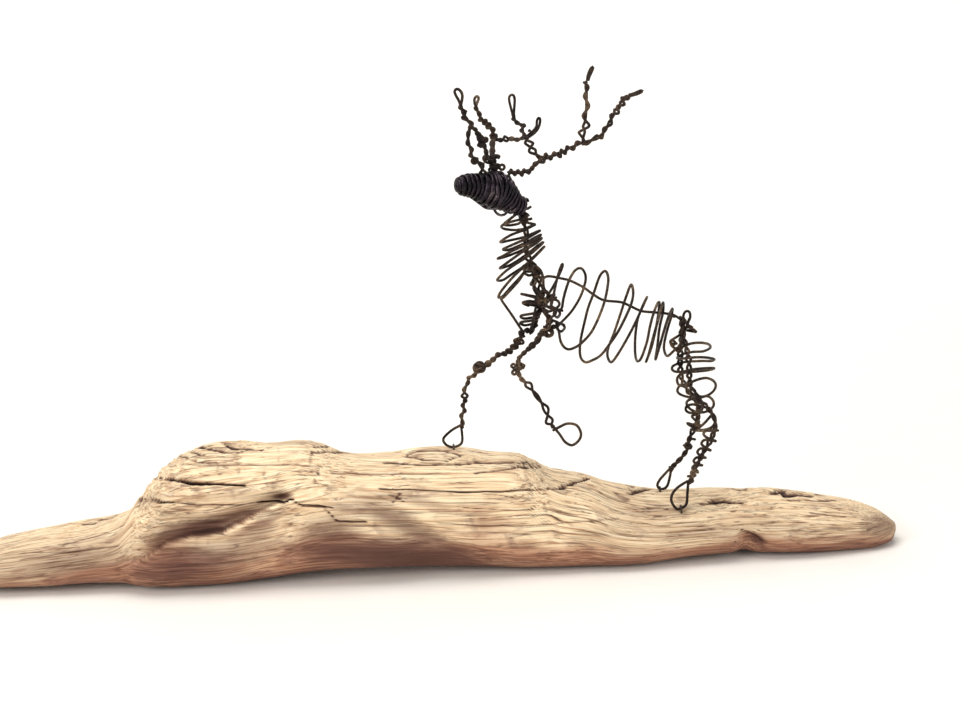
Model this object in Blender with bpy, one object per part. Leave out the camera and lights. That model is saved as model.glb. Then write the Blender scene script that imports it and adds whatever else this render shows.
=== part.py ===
"""Twisted wire elk walking on a piece of driftwood.

Metres, +Z up. The origin is on the surface that the driftwood stands on, under the middle of it.
The elk faces -X, so its left side is on the -Y side.
"""

import math

import bmesh
import bpy
import numpy as np
from mathutils import Vector
from mathutils.bvhtree import BVHTree

MM = 0.001

# Driftwood, at its longest, deepest and highest
WOOD_LENGTH = 497 * MM
WOOD_DEPTH = 68 * MM
WOOD_HEIGHT = 65 * MM

# Elk, from the hind hooves to the highest tine, and the place of its spine's front end on the wood
ELK_HEIGHT = 218 * MM
ELK_X = 75 * MM
ELK_Y = -2 * MM

# Wire diameters, and how far a twisted pair runs in one full turn
WIRE = 1.1 * MM
STAPLE_WIRE = 1.0 * MM
LEG_TWIST = 8.5 * MM
ANTLER_TWIST = 9 * MM

# How deep a staple's legs go into the wood, and the gap between pieces that rest on each other
STAPLE_DEPTH = 5 * MM
CLEARANCE = 0.3 * MM
STAPLE_ROOM = 0.45 * MM

# Mesh fineness
WIRE_SIDES = 4
WRAP_RINGS = 8
PAIR_RINGS = 5
LONGEST_STEP = 7 * MM
MOST_BEND = math.radians(52)
WOOD_RINGS = 46
WOOD_SIDES = 20
HOLE_SIDES = 6

WIRE_COLOUR = (0.035, 0.028, 0.024)
HEAD_COLOUR = (0.025, 0.022, 0.026)
WOOD_COLOUR = (0.52, 0.36, 0.23)

PAIR_RADIUS = WIRE
WRAP_RADIUS = (PAIR_RADIUS + CLEARANCE + WIRE / 2) / math.cos(MOST_BEND / 2) + 0.05 * MM
STAPLE_REACH = (WIRE + STAPLE_WIRE) / 2 + STAPLE_ROOM
LEG_BESIDE = 2 * PAIR_RADIUS + CLEARANCE

# The elk's landmarks are free-hand, in parts of its height: UNIT is a 218th of it
UNIT = ELK_HEIGHT / 218


def at(*points):
    """Landmarks in units, as an array of places in metres, in the elk's own frame."""
    return np.array(points, float) * UNIT


def lengths(path):
    """Distance along the path at each of its points."""
    return np.concatenate([[0], np.cumsum(np.linalg.norm(np.diff(path, axis=0), axis=1))])


def point_at(path, distance):
    """Place on the path at a distance, or an array of them at several."""
    reach = lengths(path)
    return np.stack([np.interp(distance, reach, path[:, k]) for k in range(3)], axis=-1)


def even(path, step):
    """The same path with its points about one step apart."""
    total = lengths(path)[-1]
    count = max(2, round(total / step) + 1)
    return point_at(path, np.linspace(0, total, count))


def smooth(points, fine=8):
    """Smooth curve through all the points."""
    points = np.asarray(points, float)
    ends = np.vstack([2 * points[0] - points[1], points, 2 * points[-1] - points[-2]])
    curve = [points[0]]
    for a, b, c, d in zip(ends, ends[1:], ends[2:], ends[3:]):
        for k in range(1, fine + 1):
            t = k / fine
            linear = (c - a) * t
            square = (2 * a - 5 * b + 4 * c - d) * t**2
            cube = (3 * b - a - 3 * c + d) * t**3
            curve.append(b + (linear + square + cube) / 2)
    return np.array(curve)


def frames(path):
    """Two unit vectors across the path at each point, that never spin around it."""
    ways = np.diff(path, axis=0)
    ways /= np.linalg.norm(ways, axis=1)[:, None]
    tangents = np.vstack([ways[:1], ways[:-1] + ways[1:], ways[-1:]])
    tangents /= np.linalg.norm(tangents, axis=1)[:, None]
    across = np.cross(tangents[0], [0.3, 1, 0.2])
    firsts = []
    for tangent in tangents:
        across = across - tangent * (across @ tangent)
        across = across / np.linalg.norm(across)
        firsts.append(across)
    firsts = np.array(firsts)
    return firsts, np.cross(tangents, firsts)


def sweep(path, outline, spin=0.0, scale=None):
    """Closed mesh of an outline carried along the path, turning by spin at each ring.

    Where it turns, its sides fold outwards, because folded inwards they would meet in the middle.
    """
    firsts, seconds = frames(path)
    scale = np.ones(len(path)) if scale is None else scale
    mesh = bmesh.new()
    rings = []
    for k, centre in enumerate(path):
        cos, sin = math.cos(spin * k), math.sin(spin * k)
        ring = []
        for u, v in outline:
            across = (u * cos - v * sin) * firsts[k] + (u * sin + v * cos) * seconds[k]
            ring.append(mesh.verts.new(centre + scale[k] * across))
        rings.append(ring)
    for low, high in zip(rings, rings[1:]):
        for k in range(len(low)):
            n = (k + 1) % len(low)
            if spin:
                mesh.faces.new((low[k], low[n], high[k]))
                mesh.faces.new((low[n], high[n], high[k]))
            else:
                mesh.faces.new((low[k], low[n], high[n], high[k]))
    mesh.faces.new(rings[0][::-1])
    mesh.faces.new(rings[-1])
    bmesh.ops.recalc_face_normals(mesh, faces=mesh.faces)
    return mesh


def ngon(radius, sides):
    """Outline of a round wire."""
    angles = [2 * math.pi * k / sides for k in range(sides)]
    return [(radius * math.cos(a), radius * math.sin(a)) for a in angles]


def follow(path):
    """Some of a dense path's points, closer together where it bends more."""
    steps = np.diff(path, axis=0)
    reach = np.linalg.norm(steps, axis=1)
    ways = steps / reach[:, None]
    kept, run, bend = [path[0]], 0.0, 0.0
    for k in range(1, len(steps)):
        run += reach[k - 1]
        bend += math.acos(min(1.0, ways[k] @ ways[k - 1]))
        if bend >= MOST_BEND or run >= LONGEST_STEP:
            kept.append(path[k])
            run, bend = 0.0, 0.0
    if run < WIRE:
        kept.pop()
    return np.array(kept + [path[-1]])


def thread(path, thickness=WIRE):
    """Round wire straight from point to point of the path."""
    return sweep(path, ngon(thickness / 2, WIRE_SIDES))


def wire(points):
    """One round wire on a smooth curve through the points."""
    return thread(follow(smooth(points, 6)))


def pair(path, twist):
    """Two wires twisted together: an outline twice as broad as it is thick, turning along the path."""
    thin = WIRE * 0.45
    broad = math.sqrt(PAIR_RADIUS**2 - thin**2)
    outline = [(broad, thin), (-broad, thin), (-broad, -thin), (broad, -thin)]
    return sweep(even(path, twist / PAIR_RINGS), outline, spin=2 * math.pi / PAIR_RINGS)


def around(path, turns, radius=WRAP_RADIUS, phase=0.0, radii=None, way=1):
    """Helix of so many turns around the path. radii, if given, sets its radius along it.

    On a path that falls, phase 0 is at +X, and a way of 1 turns from there to the near side, -Y.
    """
    count = round(turns * WRAP_RINGS) + 1
    core = even(path, lengths(path)[-1] / 200)
    firsts, seconds = frames(core)
    marks = np.linspace(0, 1, count)
    index = np.minimum((marks * (len(core) - 1)).round().astype(int), len(core) - 1)
    if radii is None:
        reach = np.full(count, radius)
    else:
        reach = np.interp(marks, np.linspace(0, 1, len(radii)), radii)
    angles = phase + way * np.arange(count) * 2 * math.pi / WRAP_RINGS
    cos, sin = np.cos(angles)[:, None], np.sin(angles)[:, None]
    return core[index] + reach[:, None] * (cos * firsts[index] + sin * seconds[index])


def half_turn(a, b, depth, bow=0.0, steps=7):
    """Half a loop from a towards b, swinging out to depth along Y and to bow along X, without a."""
    points = []
    for k in range(1, steps + 1):
        swing = math.sin(math.pi * k / steps)
        share = (1 - math.cos(math.pi * k / steps)) / 2
        points.append(a + (b - a) * share + np.array([bow, depth, 0]) * swing)
    return points


def loops(ends, near, far, bow=None):
    """Wire that passes through the ends in turn, by the near side and the far side alternately."""
    bow = np.zeros(len(ends)) if bow is None else bow
    path = [ends[0]]
    for k in range(len(ends) - 1):
        depth = -near[k // 2] if k % 2 == 0 else far[k // 2]
        path += half_turn(ends[k], ends[k + 1], depth, bow[k])
    return np.array(path)


def knot(centre, radius):
    """Small lump where a wire is wound over itself."""
    mesh = bmesh.new()
    bmesh.ops.create_icosphere(mesh, subdivisions=2, radius=1)
    for vertex in mesh.verts:
        ripple = 1 + 0.12 * math.sin(9 * vertex.co.z + 4 * vertex.co.x)
        vertex.co = Vector(centre) + vertex.co * radius * ripple
    return mesh


def material(name, colour, roughness, metallic):
    """Plain surface for one sub-part."""
    surface = bpy.data.materials.new(name)
    surface.use_nodes = True
    shader = surface.node_tree.nodes["Principled BSDF"]
    shader.inputs["Base Color"].default_value = (*colour, 1)
    shader.inputs["Roughness"].default_value = roughness
    shader.inputs["Metallic"].default_value = metallic
    return surface


def add_object(name, mesh):
    """Object from a bmesh, which is used up."""
    data = bpy.data.meshes.new(name)
    mesh.to_mesh(data)
    mesh.free()
    data.shade_smooth()
    data.set_sharp_from_angle(angle=math.radians(50))
    body = bpy.data.objects.new(name, data)
    bpy.context.scene.collection.objects.link(body)
    return body


def fuse(name, pieces, colour=WIRE_COLOUR):
    """One closed steel body made of pieces that run into each other."""
    bodies = [add_object(f"{name}_{k}", piece) for k, piece in enumerate(pieces)]
    whole = bodies[0]
    for k, other in enumerate(bodies[1:]):
        join = whole.modifiers.new(f"Join {k}", "BOOLEAN")
        join.operation = "UNION"
        join.object = other
        join.use_self = True
    graph = bpy.context.evaluated_depsgraph_get()
    solid = bpy.data.meshes.new_from_object(whole.evaluated_get(graph))
    for body in bodies:
        bpy.data.objects.remove(body)
    solid.name = name
    solid.materials.clear()
    solid.materials.append(material(f"{name}_steel", colour, 0.45, 0.9))
    result = bpy.data.objects.new(name, solid)
    bpy.context.scene.collection.objects.link(result)
    return result


# Driftwood. One row for each place along it: share of the half length, then in shares of the wood's
# height its underside and top, then in shares of its half depth its front and back edges
WOOD_TABLE = [
    (-1.00, 0.08, 0.19, -0.05, 0.35),
    (-0.97, 0.04, 0.25, -0.28, 0.58),
    (-0.89, 0.03, 0.31, -0.45, 0.74),
    (-0.74, 0.03, 0.41, -0.58, 0.84),
    (-0.64, 0.04, 0.47, -0.66, 0.88),
    (-0.58, 0.03, 0.55, -0.72, 0.92),
    (-0.54, 0.01, 0.72, -0.80, 0.95),
    (-0.50, -0.01, 0.87, -0.85, 0.97),
    (-0.44, -0.01, 0.97, -0.88, 1.00),
    (-0.39, -0.01, 1.00, -0.90, 1.00),
    (-0.28, 0.02, 0.985, -0.92, 1.00),
    (-0.18, 0.06, 0.95, -0.94, 0.98),
    (-0.13, 0.07, 0.88, -0.94, 0.97),
    (-0.04, 0.06, 0.85, -0.93, 0.96),
    (0.02, 0.05, 0.88, -0.92, 0.96),
    (0.09, 0.03, 0.89, -0.92, 0.97),
    (0.16, 0.01, 0.86, -0.91, 0.97),
    (0.24, -0.01, 0.81, -0.90, 0.97),
    (0.29, -0.01, 0.68, -0.90, 0.98),
    (0.37, -0.01, 0.58, -0.90, 0.98),
    (0.41, -0.01, 0.50, -0.90, 0.98),
    (0.47, -0.01, 0.44, -0.88, 0.97),
    (0.56, -0.01, 0.405, -0.86, 0.94),
    (0.69, -0.005, 0.395, -0.80, 0.88),
    (0.80, -0.01, 0.36, -0.72, 0.78),
    (0.89, 0.00, 0.29, -0.56, 0.62),
    (0.96, 0.04, 0.21, -0.34, 0.38),
    (1.00, 0.07, 0.13, -0.08, 0.10),
]


def rounded_table(x):
    """Underside, top, front and back shares at a place along the wood, on smooth curves."""
    table = np.array(WOOD_TABLE)
    slopes = np.gradient(table[:, 1:], table[:, 0], axis=0)
    k = int(np.clip(np.searchsorted(table[:, 0], x) - 1, 0, len(table) - 2))
    width = table[k + 1, 0] - table[k, 0]
    t = (x - table[k, 0]) / width
    low, high = table[k, 1:], table[k + 1, 1:]
    start = (2 * t**3 - 3 * t**2 + 1) * low + (t**3 - 2 * t**2 + t) * width * slopes[k]
    end = (3 * t**2 - 2 * t**3) * high + (t**3 - t**2) * width * slopes[k + 1]
    return start + end


def fade(value, low, high):
    """0 below low, 1 above high, smooth between."""
    t = min(max((value - low) / (high - low), 0), 1)
    return t * t * (3 - 2 * t)


def front_relief(x, z):
    """How far the front stands out of its plain section, in shares of the half depth.

    A second tongue of wood folds over the lower left, with a long hollow above its rising edge,
    and a notch cuts the lower edge near the right end.
    """
    edge = 0.29 + (x + 0.55) * 1.42
    tongue = fade(x, -0.60, -0.54) * (1 - fade(x, -0.26, -0.05))
    below = 1 - fade(z, edge - 0.02, edge + 0.05)
    hollow = fade(z, edge - 0.02, edge + 0.05) * (1 - fade(z, edge + 0.10, edge + 0.26))
    reach = fade(x, -0.58, -0.48) * (1 - fade(x, -0.26, -0.20))
    notch = math.exp(-((x - 0.675) / 0.018) ** 2) * (1 - fade(z, 0.14, 0.34))
    return 0.12 * tongue * below - 0.26 * reach * hollow - 0.16 * notch


def weathering(x, angle):
    """Low lumps all over, in shares of the half depth."""
    long_wave = math.sin(11 * x + 1.3) * math.cos(angle * 2 + 4 * x)
    short_wave = math.sin(29 * x + 0.4) * math.sin(angle * 3 + 9 * x)
    return 0.022 * long_wave + 0.012 * short_wave


def wood_point(x, angle):
    """Point of the driftwood's skin. x runs from -1 to 1, and the angle starts at the back edge."""
    low, top, front, back = rounded_table(x)
    middle_y, half_y = (front + back) / 2, (back - front) / 2
    middle_z, half_z = (low + top) / 2, (top - low) / 2
    cos, sin = math.cos(angle), math.sin(angle)
    power = 2 / 2.7 if sin > 0 else 2 / 3.2
    y = middle_y + half_y * math.copysign(abs(cos) ** power, cos)
    z = middle_z + half_z * math.copysign(abs(sin) ** power, sin)
    if cos < 0:
        y -= front_relief(x, z) * min(1, -cos * 1.6)
    taper = min(1, half_y * 2)
    y += weathering(x, angle) * taper * cos
    z += weathering(x + 0.7, angle) * taper * max(sin, -0.2)
    return Vector((x * WOOD_LENGTH / 2, y * WOOD_DEPTH / 2, max(z, 0) * WOOD_HEIGHT))


def wood_mesh():
    """Driftwood as rings along its length, closer together towards the two ends."""
    mesh = bmesh.new()
    rings = []
    for k in range(WOOD_RINGS):
        share = k / (WOOD_RINGS - 1) * 2 - 1
        x = math.sin(math.pi / 2 * share) * 0.25 + share * 0.75
        ring = []
        for n in range(WOOD_SIDES):
            ring.append(mesh.verts.new(wood_point(x, 2 * math.pi * n / WOOD_SIDES)))
        rings.append(ring)
    for low, high in zip(rings, rings[1:]):
        for k in range(WOOD_SIDES):
            n = (k + 1) % WOOD_SIDES
            mesh.faces.new((low[k], low[n], high[n], high[k]))
    mesh.faces.new(rings[0][::-1])
    mesh.faces.new(rings[-1])
    bmesh.ops.triangulate(mesh, faces=mesh.faces)
    bmesh.ops.recalc_face_normals(mesh, faces=mesh.faces)
    ys = [v.co.y for v in mesh.verts]
    bmesh.ops.translate(mesh, verts=mesh.verts, vec=(0, -(max(ys) + min(ys)) / 2, 0))
    return mesh


def ground(tree, place):
    """Height of the wood under a place."""
    hit = tree.ray_cast(Vector((place[0], place[1], WOOD_HEIGHT * 2)), Vector((0, 0, -1)))
    return hit[0].z


# Legs, from the body down to the hoof, then each hoof's loop around and back
FORELEG_RIGHT = at(
    (-13.5, 5, 86), (-20, 8, 80.5), (-25, 9, 79), (-29, 9, 76.5), (-35, 9, 73),
    (-40.5, 9, 68.5), (-42, 9, 63.5), (-43.5, 9, 58), (-44.5, 10, 53), (-45.5, 10, 47), (-46, 10, 41))
FORELEG_RIGHT_HOOF = at(
    (-46, 10, 42), (-46, 10, 34.5), (-48, 10, 32), (-52, 10, 31.5), (-55, 10, 33.5), (-55.5, 10, 36.5),
    (-51, 10, 40.5), (-46, 10, 43))
FORELEG_LEFT = at(
    (-2.5, -2.7, 109.5), (-3, -2.7, 106), (-1.5, -4.5, 103), (0, -8, 101), (0, -10, 96.5), (-4, -10, 92),
    (-6.5, -10, 88.5), (-11, -11, 85), (-15, -12, 81.5), (-15.5, -12, 76.5), (-15, -12, 71.5),
    (-11.5, -12, 67.5), (-8, -12, 62.5), (-4, -12, 55.5), (-2, -12, 49), (1, -12, 44.5))
FORELEG_LEFT_HOOF = at(
    (-0.5, -12.6, 46.5), (3, -12.8, 41.5), (5.5, -12.6, 37.5), (9, -12, 35.5), (12.5, -12, 38),
    (13.5, -12, 41.5), (11.5, -11.4, 45.5), (7, -11.2, 46.5), (3, -11.2, 45), (-0.5, -11.8, 43.5))
HIND_LEG_LEFT = at(
    (67, -1.6, 95), (67, -1.6, 89), (67, -3.5, 85), (68, -6.5, 79), (68.5, -8, 71.5), (68.5, -8, 66),
    (69, -8, 61.5), (71, -9, 57), (74, -10.5, 53.5), (77, -12, 50), (79.5, -13, 46), (80, -13, 41),
    (78.5, -13, 36), (76, -14, 32), (73.5, -14, 28), (71, -14, 23), (69, -14, 19), (67.5, -14, 14.5),
    (66, -14, 12))
HIND_LEG_LEFT_HOOF = at(
    (66, -14, 13), (65.5, -14, 7), (65, -14, 2), (63, -14, 0), (60, -14, -0.5), (57.5, -14, 3.5),
    (58, -14, 7.5), (61, -14, 11), (66, -14, 14))
HIND_LEG_RIGHT = at(
    (67, 1.6, 95), (67, 1.6, 89), (67, 3.5, 84), (67, 6.5, 77), (67, 7, 64), (69, 8, 58), (72.5, 9, 52),
    (76, 10, 47.5), (76.5, 11, 40.5), (75.5, 12, 35), (73, 13, 29.5), (71, 13, 23.5), (70.5, 14, 20),
    (67.5, 14, 16), (63.5, 14, 12), (62, 14, 9.5))
HIND_LEG_RIGHT_HOOF = at(
    (62.5, 14, 10.5), (61, 14, 5.5), (59.5, 14, 1), (57, 14, -0.5), (54.5, 14, 0), (53.5, 14, 2.5),
    (55.5, 14, 5.5), (58.5, 14, 8), (62.5, 14, 11.5))

# Trunk: the pair of wires in the neck and chest, and the single wire along the back
NECK = at(
    (-11, -0.5, 149), (-9.5, 0, 146), (-8.5, 0, 141), (-9, 0, 135), (-8.5, 0, 129.5), (-6, 0, 125),
    (-3.5, 0, 118.5), (-2.5, 0, 111), (-3, 0, 106), (-4.5, 0, 100.5), (-6.5, 0, 95), (-9, 0, 90.5))
SPINE = at(
    (-2, 0, 119.5), (1.5, 0, 119), (8, 0, 117.5), (12.5, 0, 116), (18.5, 0, 112.5), (23.5, 0, 108.5),
    (28.5, 0, 105.5), (37, 0, 104), (42, 0, 101.5), (47, 0, 99), (53.5, 0, 98), (59.5, 0, 97), (63.5, 0, 95))

# Stretches of the twisted pairs that other wires are wound around: the heights of both ends, in units
NECK_TOP = (148, 143.8)
CHEST_TOP = (128, 123)
SPINE_START = (121.2, 118.2)
CLUMP = (110.5, 105.5)
BUNDLE = (102.5, 95)
NECK_FOOT = (93.5, 90.6)
LIFTED_LEG_TOP = (101, 93)
RIB_FOOT = (79.5, 76)
SHIN = (39, 18)
SETTLE_TOP = 95

# Chest wire: the stretch that leaves the neck's core, and how far its turns below stray forwards
CHEST_ARC = at((-1, -2.6, 121), (0.8, -3, 118), (0.8, -3, 114.5))
CLUMP_LOBES = np.array([2, 7, 6.5]) * UNIT
BUNDLE_LOBES = np.array([0, 6, 6.5, 0]) * UNIT

# Neck coil: its ends at the throat and at the back of the neck in turn, then the wire to the brisket
NECK_ENDS = at(
    (-13, -2.5, 143.5), (-18.5, 0, 146), (-5.5, 0, 147.5), (-20.5, 0, 144.5), (-3.5, 0, 144.5),
    (-21.5, 0, 137), (-1.5, 0, 141.5), (-20.5, 0, 133), (-1, 0, 139), (-23, 0, 129), (-0.5, 0, 136.5),
    (-22.5, 0, 123.5), (0, 0, 133.5), (-23.5, 0, 118.5), (-1, 0, 129), (-23.5, 0, 110))
NECK_NEAR = np.array([1, 7, 7, 8, 8, 8, 8, 8]) * UNIT
NECK_FAR = np.array([7, 7, 8, 8, 8, 8, 8]) * UNIT
BRISKET = at((-20.5, -1.5, 104.5), (-17.5, -2.5, 100), (-13.5, -3, 95))

# Rib coil: low and high ends in turn, how far each half turn swings to the side and leans back.
# The first low end is among the small loops around the top of the lifted leg
RIB_ENDS = at(
    (3.8, -9, 104), (9, 0, 125), (7.5, -8, 98), (17.5, 0, 122), (10.5, 0, 82), (30, 0, 120.5),
    (18.5, 0, 74.5), (42, 0, 113), (31, 0, 74), (50, 0, 105.5), (44, 0, 74), (56, 0, 103), (49.5, 0, 73),
    (60, 0, 102), (54, 0, 74.5), (63, 0, 98), (60, 0, 76))
RIB_NEAR = np.array([3, 13, 20, 17, 18, 17, 15, 14]) * UNIT
RIB_FAR = np.array([7, 12, 13, 14, 18, 16, 15, 13]) * UNIT
RIB_LEAN = np.array([-2, 1, 3, -5, 2.5, -3.5, 3.5, -1, -2, 1.5, 1, -1, 1, -1, 1, -1]) * UNIT
RIB_LOBES = np.array([4.5, 5, 5, 2]) * UNIT

# Haunch coil: front and rear ends in turn. Its lower turns go around the left leg alone
HAUNCH_ENDS = at(
    (62, 0, 84), (80.5, 0, 79), (61, 0, 70), (83, 0, 72.5), (63, 0, 62.5), (83, 0, 67), (64, 0, 56.5),
    (83.5, 0, 59.5), (67, -8, 53), (81.5, -10, 52), (70, -12, 45.5), (83, -13, 44.5), (76, -13, 40))
HAUNCH_NEAR = np.array([11, 12, 12.5, 13, 6, 5]) * UNIT
HAUNCH_FAR = np.array([11, 14, 14, 4, 4.5, 4]) * UNIT
RUMP_LOOP = at((65.5, 0, 96.6), (67.5, 0, 97.8), (69.7, 0, 98), (71.2, 0, 96.4))
HIP = at((67, 0, 94.5), (67, 0, 89.5))
HIP_BESIDE = 1.7 * UNIT
HAUNCH_SPIRAL = np.array([2.9, 3.0, 2.8, 2.5, 2.3]) * MM

# Lumps where a leg's wires are knotted: place and radius
PLANTED_KNEE = at((-35, 9, 73))
PLANTED_KNEE_RADIUS = 3.2 * UNIT
LIFTED_KNEE = at((-15, -12, 77))
LIFTED_KNEE_RADIUS = 2.9 * UNIT
FAR_HOCK = at((71, 13, 23.5))
FAR_HOCK_RADIUS = 2.8 * UNIT

# Antlers. The head is turned to the elk's left, so its right antler reaches away to +Y
ANTLER_LEFT = at(
    (-16, -4.5, 174), (-11.5, -7, 171), (-6.5, -9, 170.5), (-3.5, -10, 173.5), (0, -12, 176.5),
    (5, -13, 178.5), (11, -15, 180.5), (16, -17, 182.5), (19, -18, 184), (24, -19, 185.5),
    (28.5, -19, 188), (33, -20, 194.5), (36, -20, 198.5), (39.5, -21, 202), (43, -21.5, 203.5))
ANTLER_LEFT_TIP = at((43, -21.5, 203.5), (46.5, -22, 205))
UP_TINE = at((19.2, -17.8, 183.2), (19.5, -19, 191), (20, -20, 197.5), (20.5, -21, 203), (21, -22, 210))
UP_TINE_TIP = at((21, -22, 210), (24, -24, 217.5))
MIDDLE_TINE = at((0.6, -12, 175.7), (-1.5, -12, 178), (-4, -13, 181), (-7, -13, 184), (-7.5, -14, 185.5))
ANTLER_RIGHT = at(
    (-20.5, -6.5, 173), (-21.5, -6, 177), (-22.5, -3.5, 181), (-22, 3, 187.5), (-16, 10, 186.5),
    (-11, 18, 186.5), (-4.7, 25.2, 186.9))
TALL_TINE = at((-6.6, 24.2, 185.2), (-6, 26.2, 191.5), (-10, 29, 196))
TALL_TINE_TIP = at((-10, 29, 196), (-10.5, 33, 208.5))
FORWARD_TINE = at((-21.7, 3.4, 186.6), (-24, 2, 192), (-26.5, 1, 195), (-29, 0, 200), (-30, -1, 203.5))
FORWARD_TINE_TIP = at((-30, -1, 203.5), (-28.5, -2, 208))
REAR_TINE = at((-7.5, 23, 186.2), (-1.5, 28, 188.5), (1.5, 31, 191.5))
REAR_TINE_TIP = at((1.5, 31, 191.5), (2.5, 34, 197))
BROW_TINE = at(
    (-30.5, -12, 174), (-31.5, -13, 177.5), (-33.5, -14, 183), (-34, -16, 189), (-33, -18, 193),
    (-34, -19, 195.5), (-35.5, -20, 199), (-36.5, -21, 203.5))
BROW_TINE_TIP = at((-36.5, -21, 203.5), (-38.5, -24, 211))
BROW_STRUT = at((-26.5, -10, 175), (-26.5, -12, 180.5), (-28.5, -14, 186), (-31, -17, 191), (-33, -18, 193))
BROW_KNOT_RADIUS = 2.2 * UNIT

# Half widths of the loops at the tines' tips
BEAM_LOOP = 1.25 * UNIT
UP_LOOP = 1.2 * UNIT
TALL_LOOP = 1.5 * UNIT
SHORT_LOOP = 1.3 * UNIT
BROW_LOOP = 1.7 * UNIT

# Head: the middle of the wound body from the nose to the back, and its radius along the way
HEAD_AXIS = at(
    (-41, -18, 167), (-34, -14, 166), (-27, -10, 164.5), (-21, -6.5, 163), (-16, -4, 159.5),
    (-12.5, -2, 155.5), (-9.5, -0.5, 153.5))
HEAD_RADII = np.array([2.2, 5.5, 7.8, 8.9, 7.9, 5.3, 3.2]) * UNIT
CROWN_RADII = np.array([3.2, 2.4, 2.0]) * UNIT
CROWN_HEIGHT = 7.5 * UNIT
THROAT_LOOP = at((-24, -8, 157), (-23.5, -8, 153), (-21.5, -7, 150.5), (-18.5, -6, 150.5), (-15.5, -5, 155))
RIDGE_PITCH = 2.6 * MM
RIDGE = 0.35 * MM
HEAD_SIDES = 8


def tip_loop(ends, half_width):
    """Narrow closed loop of one wire at a tine's tip, from the tine's end up to the loop's top."""
    base, top = ends
    rise = top - base
    side = np.cross(rise, [0, 1, 0])
    side *= half_width / np.linalg.norm(side)
    depth = np.array([0, WIRE * 0.3, 0])
    round_part = half_width / np.linalg.norm(rise)
    close = (WIRE + CLEARANCE) / 2 / half_width
    outline = [(-0.12, close)]
    for angle in np.linspace(math.pi / 2, -math.pi / 2, 5):
        outline.append((1 - round_part * (1 - math.cos(angle)), math.sin(angle)))
    outline.append((-0.25, -close))
    steps = len(outline) - 1
    return thread(np.array([base + rise * u + side * v + depth * (1 - 2 * k / steps)
                            for k, (u, v) in enumerate(outline)]))


def wound_body(axis, radii, sides=HEAD_SIDES):
    """Body of wire wound on an axis: rings along it, every other one a ridge."""
    rings = 2 * max(2, round(lengths(axis)[-1] / RIDGE_PITCH)) + 1
    shares = np.linspace(0, 1, rings)
    size = np.interp(shares, np.linspace(0, 1, len(radii)), radii)
    size[1::2] += RIDGE
    size[0::2] -= RIDGE
    return sweep(point_at(axis, shares * lengths(axis)[-1]), ngon(1, sides), scale=size)


def staple_path(place):
    """Small arch across the hoof's wire at its lowest, with its legs down in the wood."""
    x, y, z = place
    arch = [(x, y + STAPLE_REACH * math.cos(a), z + STAPLE_REACH * math.sin(a))
            for a in np.linspace(0, math.pi, 7)]
    bottom = z - WIRE / 2 - STAPLE_DEPTH
    return np.array([(x, y + STAPLE_REACH, bottom)] + arch + [(x, y - STAPLE_REACH, bottom)])


def staple_hole(place, side):
    """Cutter for one leg of a staple."""
    x, y, z = place
    y += side * STAPLE_REACH
    low, high = z - WIRE / 2 - STAPLE_DEPTH - CLEARANCE, z + WIRE
    radius = (STAPLE_WIRE / 2 + CLEARANCE) / math.cos(math.pi / HOLE_SIDES)
    return sweep(np.array([(x, y, low), (x, y, high)]), ngon(radius, HOLE_SIDES))


def between(path, stretch):
    """Stretch of a falling path between two heights on the elk, in units above its own ground."""
    high, low = stretch
    heights = path[:, 2]
    first = int(np.argmax(heights <= high * UNIT))
    last = int(np.argmax(heights <= low * UNIT))
    return path[max(first - 1, 0):last + 1]


def lowest_stretch(path):
    """The two neighbouring points of the path that lie lowest."""
    k = int(np.argmin(path[:-1, 2] + path[1:, 2]))
    return path[k], path[k + 1]


def rest_on(path, tree, radius):
    """Path whose first point is moved along its own start until its end face just clears a surface."""
    onward = path[1] - path[0]
    onward = onward / np.linalg.norm(onward)
    first, second = (sides[0] for sides in frames(path))
    rim = [np.zeros(3)]
    for angle in np.linspace(0, 2 * math.pi, 9)[:-1]:
        rim.append(radius * (math.cos(angle) * first + math.sin(angle) * second))

    def height(centre):
        """Least signed distance of the end face from the surface."""
        lowest = math.inf
        for offset in rim:
            place = Vector(centre + offset)
            spot, normal, _, distance = tree.find_nearest(place)
            lowest = min(lowest, math.copysign(distance, (place - spot).dot(normal)))
        return lowest

    travel = -4 * MM
    while height(path[0] + onward * travel) < CLEARANCE:
        travel += 0.05 * MM
    seated = path[0] + onward * travel
    ahead = (path - seated) @ onward > 0.4 * MM
    return np.vstack([[seated], path[np.argmax(ahead):]])


def lobed_wrap(path, turns, lobes, phase=0.0, near=0.0, aim=-1):
    """Wire around the path. lobes says along it how far the turns stray forwards, to -X.

    near is how far every turn strays to the near side, -Y, to take in another wire there. With an aim
    of 1 the lobes stray to +X.
    """
    spiral = around(path, turns, phase=phase)
    outward = spiral - around(path, turns, radius=0.0)
    outward /= np.linalg.norm(outward, axis=1)[:, None]
    stray = np.interp(np.linspace(0, 1, len(spiral)), np.linspace(0, 1, len(lobes)), lobes)
    forward = np.maximum(0, aim * outward[:, 0]) ** 2
    sideways = np.maximum(0, -outward[:, 1]) ** 2
    return spiral + outward * (stray * forward + near * sideways)[:, None]


def head_pieces():
    return [wound_body(smooth(HEAD_AXIS), HEAD_RADII), wire(THROAT_LOOP)]


def neck_wire(core):
    """Wound on the core under the head, open coil down the throat, then down to the brisket."""
    top = around(between(core, NECK_TOP), 2.25)
    coil = loops(NECK_ENDS, NECK_NEAR, NECK_FAR)
    bottom = around(between(core, NECK_FOOT), 1.5, phase=math.pi)
    return [wire(np.vstack([top, coil, BRISKET, bottom]))]


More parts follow.
